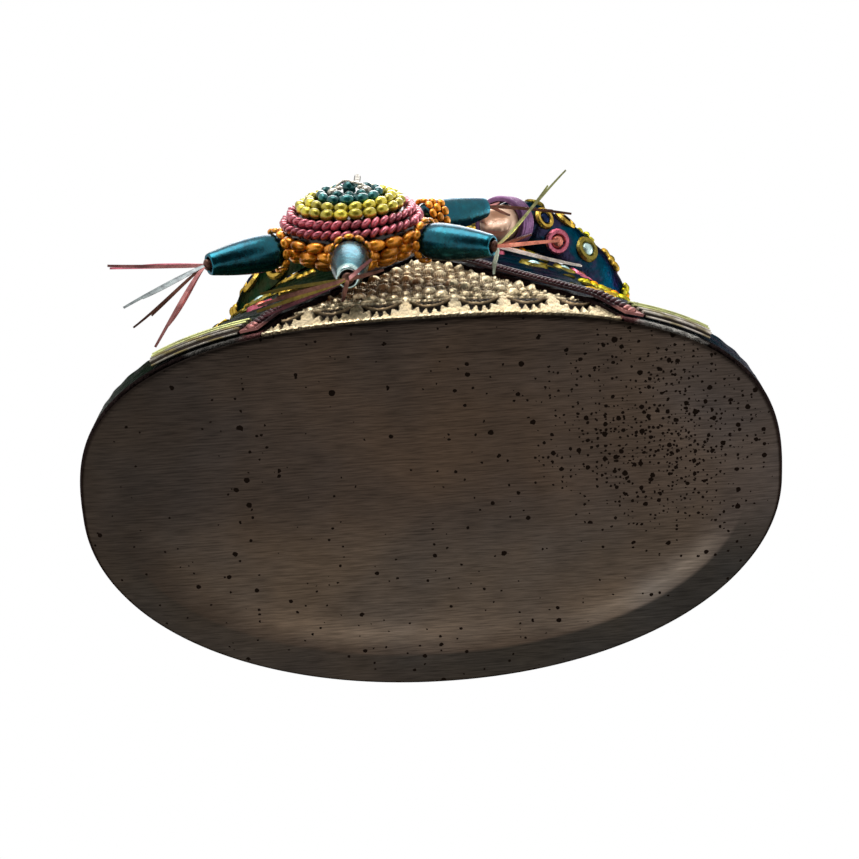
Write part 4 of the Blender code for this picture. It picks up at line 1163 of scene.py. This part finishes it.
def make_beard():
    """A solid core under rows of wavy locks."""
    rng = np.random.default_rng(11)
    core = skin([beard_point(turns(48), down, -0.45) for down in np.linspace(0, 0.97, 24)])
    # The core is painted darker than the locks, as shade between them.
    piece = Piece().add(core, WHITE * 0.7)
    share = shares(14)
    for start, count, length in BEARD_ROWS:
        for turn in np.linspace(-1.5, 1.5, count):
            sway = 0.09 * np.sin(share * 7 + rng.uniform(0, TURN)) * (1 - start * 0.5)
            down = np.minimum(start + rng.uniform(-0.02, 0.02) + length * share, 1.0)
            swell = -0.25 + 0.2 * np.sin(math.pi * share)
            path = beard_point(turn * (1 - 0.12 * share) + sway, down, swell)
            add_lock(piece, path, rng.uniform(0.85, 1.1), WHITE * rng.uniform(0.86, 1.0))
    piece.build("beard", "locks", "hair", "white")


MOUSTACHE_LOCKS = 5


def make_moustache():
    """Locks that sweep out and down from under the nose, with ends that turn up."""
    piece = Piece()
    share = shares(14)
    middle = np.array((0, HEAD[1] - HEAD_RADIUS - 1.9, HEAD[2] - 2.6))
    for side in SIDES.values():
        for k in range(MOUSTACHE_LOCKS):
            lift = 0.75 - 0.36 * k
            x = side * (0.1 + (5.3 - 0.35 * k) * share)
            y = 1.5 * share ** 2 - 0.45 * np.sin(math.pi * share) - 0.2 * math.sin(k)
            z = lift * (1 - 0.4 * share) - (1.8 + 0.15 * k) * share ** 2 + 0.9 * share ** 6
            add_lock(piece, middle + joined(x, y, z), 0.72, WHITE * (1 - 0.03 * k))
    piece.build("moustache", "locks", "hair", "white")


# Rows of locks at the back: way down at the root, count.
HAIR_ROWS = ((0.0, 21), (0.4, 20))


def make_hair_back():
    """A curved sheet round the back of the head under two rows of locks."""
    rng = np.random.default_rng(5)
    low, high = HEAD[2] - 6.2, HEAD_TOP - 4.5
    z = np.linspace(low, high, 9)[:, None]
    turn = np.radians(np.linspace(8, 172, 49))[None, :]
    outer, inner = (ring(head_reach(z) + grow, z, turn) + HEAD_SHIFT for grow in (1.3, GAP))
    # The sheet is painted darker than the locks, as shade between them.
    piece = Piece().add(sheet_form(outer, inner[::2, ::2]), WHITE * 0.7)
    share = shares(12)
    for drop, count in HAIR_ROWS:
        for angle in np.linspace(12, 168, count):
            height = high - (high - low) * (drop + (1.04 - drop) * share)
            swing = np.radians(angle) + 0.1 * np.sin(share * 6 + rng.uniform(0, TURN))
            reach = head_reach(height) + 1.2 + 0.35 * np.sin(share * math.pi)
            add_lock(piece, ring(reach, height, swing) + HEAD_SHIFT, 0.85, WHITE * rng.uniform(0.86, 1.0))
    piece.build("hair_back", "locks", "hair", "white")


CURLS = 300
GOLDEN = 0.618034


def make_hat_band():
    """A fleece roll: a core covered in small curls."""
    rng = np.random.default_rng(3)
    middle = HEAD_TOP - 2.1
    reach = HAT_RADIUS + GAP + 1.2
    around = turns(14)
    roll = [ring(reach + np.cos(around), middle + 1.85 * np.sin(around), turn) for turn in turns(60)]
    # The roll is painted darker than the curls, as shade between them.
    piece = Piece().add(skin(np.array(roll) + HEAD_SHIFT, loop=True), WHITE * 0.75)
    for i in range(CURLS):
        turn, tilt = TURN * i * GOLDEN, rng.uniform(-1.9, 1.9)
        out = ring(math.cos(tilt), math.sin(tilt), turn)
        place = ring(reach, middle, turn) + HEAD_SHIFT + out * (1.05, 1.05, 1.95)
        side = unit(np.cross(out, rng.normal(size=3)))
        piece.add_bead(place, side, out, (0.62, 0.4, 0.36), WHITE * rng.uniform(0.88, 1.0))
    piece.build("hat_band", "fleece", "hair", "white")


def crown_shape(share):
    """Radius and middle of the cap at a share of its height."""
    middle = np.array((0, HEAD[1] + 1.5 * share ** 2, HAT_Z + HAT_HEIGHT * share))
    return HAT_RADIUS * (1 - 0.78 * share ** 0.9), middle


def crown_frame(turn, share):
    """A place on the cap and the direction out of it."""
    reach, middle = crown_shape(share)
    return middle + ring(reach, 0.0, turn), unit(ring(1.0, 0.35, turn))


# Angle through which a cord winds from the foot of the cap to its tip.
CORD_WIND = 7


def make_hat_crown():
    """A soft cone with shallow folds, two cords winding up it and small flowers."""
    around = turns(72)
    rings = []
    for share in shares(28):
        reach, middle = crown_shape(share)
        fold = 1 + 0.03 * math.sin(math.pi * share) * np.sin(6 * around + 5 * share)
        rings.append(middle + ring(reach * fold, 0.0, around))
    piece = Piece().add(skin(rings), RED, 0.85)
    for phase in (0.0, math.pi):
        frames = [crown_frame(phase + CORD_WIND * share, share) for share in np.linspace(0.12, 0.97, 120)]
        path = np.array([place + 0.1 * out for place, out in frames])
        piece.add(skin(sweep(path, 0.28, 8)), GOLD, plain=True)
        for i, share in enumerate(np.linspace(0.18, 0.78, 7)):
            place, out = crown_frame(phase + CORD_WIND * share + 1.4, share)
            across = unit(np.cross((0, 0, 1), out))
            add_boss(piece, place, (across, np.cross(out, across), out), 1.3 - 0.6 * share, i + 1)
    piece.build("hat_crown", "lacquer", "coat", "red")


POMPOM_BEADS = 90


def make_pompom():
    """A ball of pressed beads."""
    piece = Piece()
    # The ball under the beads is painted dark as shade between them.
    piece.add_ball(POMPOM, 1.95, RECESS * 2, BALL_FINE)
    piece.add_ball(POMPOM - (0, 0, 2.35), (1.1, 1.1, 0.25), CHAMPAGNE, BALL_FINE)
    for i in range(POMPOM_BEADS):
        z = 1 - 2 * (i + 0.5) / POMPOM_BEADS
        out = ring(math.sqrt(1 - z * z), z, i * math.pi * (3 - math.sqrt(5)))
        piece.add_ball(POMPOM + out * 1.92, 0.38, CHAMPAGNE)
    piece.build("hat_pompom", "beads", "pewter", "pewter")


# Pinata, worked out round the middle of its ball with the front towards -Y.

BALL_SEAM = 0.15
REAR_ROWS = 5


def dome_spot(arc, depth, inset):
    """Radius and height of a point on the ball at a length of arc from the rim."""
    angles = np.linspace(0, math.pi / 2, 721)
    pace = np.hypot(BALL_RADIUS * np.sin(angles), depth * np.cos(angles)) * (angles[1] - angles[0])
    angle = np.interp(arc, np.cumsum(pace), angles)
    return (BALL_RADIUS - inset) * math.cos(angle), (depth - inset) * math.sin(angle)


def facing(depth):
    """The way that the half of the ball with that depth looks."""
    return np.array((0, -1 if depth == FRONT_DEPTH else 1, 0))


def add_bead_row(piece, arc, depth, count, tint, rng, slant=0.0):
    """Long beads end to end round the ball, each a little off true; slant twists them to a rope."""
    radius, height = dome_spot(arc, depth, BEAD)
    reach = math.pi * radius / count * (1.04 + 0.5 * slant)
    lean = math.atan2(height / depth ** 2, radius / BALL_RADIUS ** 2)
    for turn in turns(count) + rng.uniform(0, 1):
        radial = swung((1, 0, 0), (0, 0, 1), turn)
        along = swung((0, 0, 1), (-1, 0, 0), turn)
        out = swung(radial, facing(depth), lean)
        along = unit(along + np.cross(out, along) * (slant + rng.uniform(-0.2, 0.2)))
        place = BALL + radial * radius + facing(depth) * height + out * rng.uniform(-0.06, 0.08)
        wide = BEAD * rng.uniform(0.92, 1.06) * (0.6 if slant else 1.0)
        shade = tint * rng.uniform(0.6, 1.35)
        piece.add_bead(place, along, out, (reach, wide, BEAD), shade, BALL_FINE)


def dome_form(depth, inset):
    """A smooth closed half ball under the beads."""
    rings = []
    for angle in np.linspace(0.0, math.pi / 2 - 0.06, 12):
        radius = (BALL_RADIUS - inset) * math.cos(angle)
        height = BALL_SEAM + (depth - inset - BALL_SEAM) * math.sin(angle)
        rings.append(BALL + ring(radius, 0.0, turns(60))[:, [0, 2, 1]] + facing(depth) * height)
    return skin(rings)


def make_ball_shells():
    rng = np.random.default_rng(21)
    # The half ball under the beads is painted dark as shade between them.
    piece = Piece().add(dome_form(REAR_DEPTH, 1.0), RECESS)
    for row in range(REAR_ROWS):
        arc = BEAD * (2 * row + 1)
        count = max(int(dome_spot(arc, REAR_DEPTH, BEAD)[0] * TURN / 2.2), 6)
        add_bead_row(piece, arc, REAR_DEPTH, count, ORANGE, rng)
    piece.add_ball(BALL + (0, REAR_DEPTH - 0.5, 0), (2.3, 0.5, 2.3), ORANGE, BALL_FINE)
    piece.build("pinata_rear_shell", "beads", "bead", "orange", "pinata", "pinata_rear")
    # The half ball under the beads is painted dark as shade between them.
    piece = Piece().add(dome_form(FRONT_DEPTH, 1.15), RECESS)
    add_bead_row(piece, BEAD, FRONT_DEPTH, 22, ORANGE, rng)
    piece.build("pinata_front_shell", "beads", "bead", "orange", "pinata", "pinata_front")


# Bead rings from the rim inwards: name, beads in each row, tint, slant.
BEAD_RINGS = (
    ("pink", (44, 40), PINK, 0.7), ("yellow", (22, 18), YELLOW, 0.0), ("teal", (12,), BEAD_TEAL * 0.7, 0.0))


def make_bead_rings():
    rng = np.random.default_rng(22)
    step, gap = 2 * BEAD, 2 * BEAD + GAP
    arc = BEAD + gap
    for name, counts, tint, slant in BEAD_RINGS:
        piece = Piece()
        for row, count in enumerate(counts, start=1):
            add_bead_row(piece, arc, FRONT_DEPTH, count, tint, rng, slant)
            arc += step if row < len(counts) else gap
        piece.build(f"pinata_{name}_ring", "beads", "bead", name, "pinata", f"pinata_{name}")
    make_flower(dome_spot(arc - gap + BEAD + GAP, FRONT_DEPTH, BEAD)[0])


def make_flower(edge):
    """Silver beads round a taller middle bead, with a bent wire over them."""
    piece = Piece()
    low = BALL - (0, FRONT_DEPTH - 0.75, 0)
    # The dome under the beads is painted dark teal as shade.
    piece.add_ball(low + (0, 0.2, 0), (edge, 0.45, edge), BEAD_TEAL * 0.3, BALL_FINE)
    for turn in turns(8):
        way = swung((1, 0, 0), (0, 0, 1), turn)
        tint = SILVER if way[2] > -0.1 else BEAD_TEAL * 0.6
        piece.add_bead(low + way * (edge - 0.45), way, (0, 1, 0), (0.62, 0.5, 0.5), tint, BALL_FINE)
    piece.add_ball(low - (0, 0.5, 0), (0.75, 0.7, 0.75), BEAD_TEAL * 0.6, BALL_FINE)
    share = shares(20)
    lift = -0.75 - 0.4 * np.sin(share * math.pi)
    wire = low + joined(2.6 * share - 1.3, lift, 0.5 * np.sin(share * TURN))
    piece.add(skin(sweep(wire, 0.16, 8)), SILVER)
    piece.build("pinata_centre", "flower", "bead", "silver", "pinata", "pinata")


def cone_axes(angle):
    """Directions of a cone: sideways, back and outwards."""
    turn = math.radians(angle)
    return np.array((
        (-math.cos(turn), 0, -math.sin(turn)), (0, 1, 0), (math.sin(turn), 0, -math.cos(turn))))


# A cone from its foot over its lip into its bore: radius, height.
CONE_PROFILE = (
    (1.5, 0.0), (1.7, 0.25), (1.85, 0.8), (1.95, 1.6), (1.93, 2.6), (1.84, 3.8),
    (1.68, 5.0), (1.48, 6.2), (1.3, 7.1), (1.2, 7.6), (1.13, 7.85), (1.06, 7.97),
    (0.95, 8.0), (0.82, 7.96), (0.75, 7.82), (0.75, 6.6))
CONE_SIDES = 48
LIP_RINGS = 7
BORE_RINGS = 2


def make_cone(number, angle):
    """A turned bullet with an open bore at its tip."""
    around = turns(CONE_SIDES)
    form = skin([BALL + ring(r, CONE_FOOT + z, around) @ cone_axes(angle) for r, z in CONE_PROFILE])
    lip, bore = (CONE_SIDES * (len(CONE_PROFILE) - count) for count in (LIP_RINGS, BORE_RINGS))
    tints = np.tile(LACQUER if angle else PALE_LACQUER, (len(form[0]), 1))
    # The lip is painted lighter as a highlight, and the bore near black as shade inside it.
    tints[lip:bore] = LACQUER * 1.6 if angle else CYAN
    tints[bore:] = RECESS * 0.3
    Piece().add(form, tints).build(f"pinata_cone_{number}", "turned", "cone", "teal", "pinata")


def make_collar(number, angle, rng):
    """A ring of beads at the foot of a cone, with more rows on one side of the upper cone."""
    across, back, out = cone_axes(angle)
    seat = torus_form(BALL + out * (CONE_FOOT + 0.3), 2.05, 0.14, across, back, 36, 6)
    piece = Piece().add(seat, BROWN)
    for row in range(3 if angle == UPPER_CONE else 1):
        for turn in turns(12) + 0.26 * row:
            if row and math.cos(turn) < 0.1:
                continue
            radial = swung(across, back, turn)
            shape = np.array([np.cross(out, radial) * 0.54, radial * 0.3, out * 0.42])
            place = BALL + out * (CONE_FOOT + 0.2 + 0.75 * row) + radial * 2.12
            piece.add_ball(place, shape, ORANGE * rng.uniform(0.7, 1.2), BALL_FINE)
    piece.build(f"pinata_collar_{number}", "beads", "bead", "orange", "pinata")


# Foil strips by the angle of the cone: length, angle off the axis of the cone, angle round it, tint.
FOILS = {
    0: (
        (9.4, 79, 15, OLIVE), (9.2, 75, 10, BROWN), (9.0, 81, 18, PLUM), (8.6, 83, 6, OLIVE * 0.5),
        (2.4, 60, 70, BROWN), (3.6, 86, 190, BROWN), (3.0, 88, 215, MAUVE)),
    60: (
        (10.5, 58, 230, LIME), (8.0, 10, 300, ROSE), (9.5, 12, 115, SILVER), (9.0, 26, 145, WHITE),
        (3.2, 98, 100, CYAN), (4.0, 40, 200, BROWN)),
    120: ((9.5, 38, 10, BROWN), (3.0, 30, 60, BROWN), (2.4, 20, 180, MAUVE)),
    300: (
        (10.5, 40, 0, PINK), (10.0, 22, 345, MAUVE), (10.0, 14, 110, MIST), (10.0, 30, 95, BROWN),
        (10.5, 40, 115, MAUVE)),
}
FOIL_THICK = 0.08
FOIL_FACE = (0.0, -0.4, -0.9)
STRIPS_EACH = 2
SOFT_TASSELS = (0, 300)
PLUG_LOW = 14.9


def ribbon(path, wide, width):
    """A thin closed strip along a path."""
    ahead = unit(np.gradient(path, axis=0))
    flat = unit(np.cross(ahead, wide))
    wide = unit(np.cross(flat, ahead)) * width[:, None]
    corners = ((-1, -1), (1, -1), (1, 1), (-1, 1))
    return skin(np.stack([path + a * wide / 2 + b * flat * FOIL_THICK / 2 for a, b in corners], 1))


def foil_path(axes, length, lean, turn, rng):
    """A strip that leaves the bore along the cone, then bends to its own way."""
    lean, turn = np.radians((lean, turn)) + rng.uniform(-0.04, 0.04, 2)
    way = swung(axes[2], swung(axes[0], axes[1], turn), lean)
    start = BALL + axes[2] * (CONE_TIP + 0.1)
    bow = rng.uniform(-0.05, 0.05, 3) * length
    controls = (start, start + axes[2] * 0.9, start + way * 0.6 * length + bow, start + way * length)
    return bezier(controls, 17), np.cross(way, FOIL_FACE) + rng.uniform(-0.3, 0.3, 3)


def make_tassel(number, angle, rng):
    """A dark knot in the bore and thin strips of foil; the strips beside the coat get their own copy of the
    mesh.
    """
    axes = cone_axes(angle)
    piece = Piece()
    knot = BALL + axes[2] * (CONE_TIP + 0.15)
    piece.add_ball(knot, np.diag((0.62, 0.62, 0.35)) @ axes, BROWN * 0.4, BALL_FINE)
    plug = BALL + np.outer((PLUG_LOW, CONE_TIP + 0.2), axes[2])
    piece.add(skin(sweep(plug, 0.42, 10, axes[0])), BROWN)
    for length, lean, turn, tint in FOILS[angle]:
        for copy in range(STRIPS_EACH):
            path, wide = foil_path(axes, length * (1 - 0.22 * copy), lean, turn, rng)
            share = shares(len(path))
            width = rng.uniform(0.26, 0.4) * (0.45 + 0.55 * np.sin(math.pi * (0.15 + 0.75 * share)))
            fade = np.outer(1.3 - 0.7 * smooth(0.3, 1.0, share), tint * rng.uniform(0.85, 1.2))
            tints = np.vstack([np.repeat(fade, 4, axis=0), fade[:1], fade[-1:]])
            piece.add(ribbon(path, wide, width), tints)
    strips = piece.build(f"pinata_tassel_{number}", "strips", "foil", "foil", "pinata")
    if angle in SOFT_TASSELS:
        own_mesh(strips)


# Camera, light and floor.

# Turns of the camera in degrees: round the object to its place, then to its aim.
CAMERA_PLACE = ((1.5, "Z"), (156.0, "X"))
CAMERA_AIM = ((-2.3, "Z"), (2.6384427, "X"), (0.1033318, "Y"))
CAMERA_REACH = 160.0
CAMERA_LENS = 67.39
LIGHT_AIM = Vector((0, 0, 0.04))
# Lamps: place, size, power.
LAMPS = {
    "key": ((-0.08, -0.42, 0.12), 0.3, 1.1),
    "top": ((0.03, -0.15, 0.48), 0.36, 2.2),
    "side": ((0.4, 0.1, 0.15), 0.3, 0.6),
}
WORLD_TINT = (0.97, 0.98, 1.0, 1)
WORLD_POWER = 0.35
FLOOR_REACH = 1.5
FLOOR_Z = -0.0003
FLOOR_FADE = (0.06, 0.4)
CARD_PLACE = Vector((0.0, -0.19, -0.23))
CARD_SIZE = 0.25


def make_camera():
    """A camera below and in front of the base, as in the photograph."""
    lens = bpy.data.cameras.new("camera")
    lens.lens = CAMERA_LENS
    lens.clip_start = 0.01
    stand = Matrix.Translation((0, 0, CAMERA_REACH * MM))
    for angle, axis in reversed(CAMERA_PLACE):
        stand = Matrix.Rotation(math.radians(angle), 4, axis) @ stand
    for angle, axis in CAMERA_AIM:
        stand = stand @ Matrix.Rotation(math.radians(angle), 4, axis)
    camera = placed("camera", lens)
    camera.matrix_world = stand
    bpy.context.scene.camera = camera


def make_lamps():
    for name, (place, size, power) in LAMPS.items():
        data = bpy.data.lights.new(name, "AREA")
        data.shape = "DISK"
        data.size = size
        data.energy = power
        lamp = placed(name, data)
        lamp.location = place
        lamp.rotation_euler = (LIGHT_AIM - Vector(place)).to_track_quat("-Z", "Y").to_euler()


def make_world():
    """White where it is seen or mirrored, dimmer as a light."""
    world = bpy.data.worlds.new("studio")
    nodes = Nodes(world)
    seen = nodes.tree.nodes["Background"]
    nodes.feed(seen.inputs["Color"], PLAIN)
    lit = nodes.node("Background", {"Color": WORLD_TINT, "Strength": WORLD_POWER})
    path = nodes.node("LightPath").outputs
    share = path["Is Camera Ray"]
    for name in ("Is Glossy Ray", "Is Transmission Ray"):
        share = nodes.maths("MAXIMUM", share, path[name])
    nodes.end("World Output", share, lit, seen)
    bpy.context.scene.world = world


def flat_sheet(name, corners, finish):
    mesh = bpy.data.meshes.new(name)
    mesh.from_pydata(corners, [], [range(len(corners))])
    mesh.materials.append(finish.material)
    return placed(name, mesh)


def make_floor():
    """A pale floor that only shows from above and fades out round the object."""
    finish = Finish("floor", 0.0, PLAIN, base_color=(0.86, 0.86, 0.85, 1), roughness=0.7)
    side = finish.node("NewGeometry").outputs
    seen = finish.node("LightPath").outputs["Is Camera Ray"]
    front = finish.maths("SUBTRACT", seen, side["Backfacing"], use_clamp=True)
    away = finish.node("VectorMath", {0: side["Position"]}, operation="LENGTH").outputs["Value"]
    fade = finish.remap(away, 1.0, 0.0, *FLOOR_FADE, interpolation_type="SMOOTHSTEP")
    shown = finish.maths("MULTIPLY", front, fade)
    finish.end("Material Output", shown, finish.node("BsdfTransparent"), finish.main)
    corners = ((-1, -1), (1, -1), (1, 1), (-1, 1))
    floor = flat_sheet("floor", [(FLOOR_REACH * x, FLOOR_REACH * y, FLOOR_Z) for x, y in corners], finish)


def make_card():
    """A dark card beside the camera, seen only in reflections."""
    finish = Finish("card", 0.0, PLAIN, base_color=(0.02, 0.02, 0.02, 1), specular_ior_level=0.0)
    card = flat_sheet("card", ring(CARD_SIZE, 0.0, turns(48)).tolist(), finish)
    card.location = CARD_PLACE
    card.rotation_euler = (-CARD_PLACE).to_track_quat("Z", "Y").to_euler()
    for kind in ("camera", "diffuse", "shadow", "transmission", "volume_scatter"):
        setattr(card, "visible_" + kind, False)


# Assembly.

make_card()
make_camera()
make_world()
make_floor()
make_lamps()
bpy.context.scene.view_settings.view_transform = "Standard"

make_base_plate()
make_robe_front()
for side_name, side_sign in SIDES.items():
    make_coat_front(side_name, side_sign)
make_coat_back()
for side_name, side_sign in SIDES.items():
    make_edge_trim(side_name, side_sign)
    make_hem_band(side_name, side_sign)
make_yoke()
for side_name, side_sign in SIDES.items():
    limb = Arm(side_sign)
    make_sleeve(side_name, limb)
    make_cuff(side_name, limb)
    make_hand(side_name, limb)
make_links()
make_eye("hanger_loop", "figure", HANGER, HANGER_RADIUS, (1, 0, 0))
make_eye("pinata_eye", "pinata", PINATA_EYE, LINK_RADIUS, (0, 1, 0))

make_head()
make_beard()
make_moustache()
make_hair_back()
make_hat_band()
make_hat_crown()
make_pompom()

make_ball_shells()
make_bead_rings()
draws = np.random.default_rng(8)
for cone_number, cone_angle in enumerate(CONE_ANGLES, start=1):
    make_cone(cone_number, cone_angle)
    make_collar(cone_number, cone_angle, draws)
    make_tassel(cone_number, cone_angle, draws)
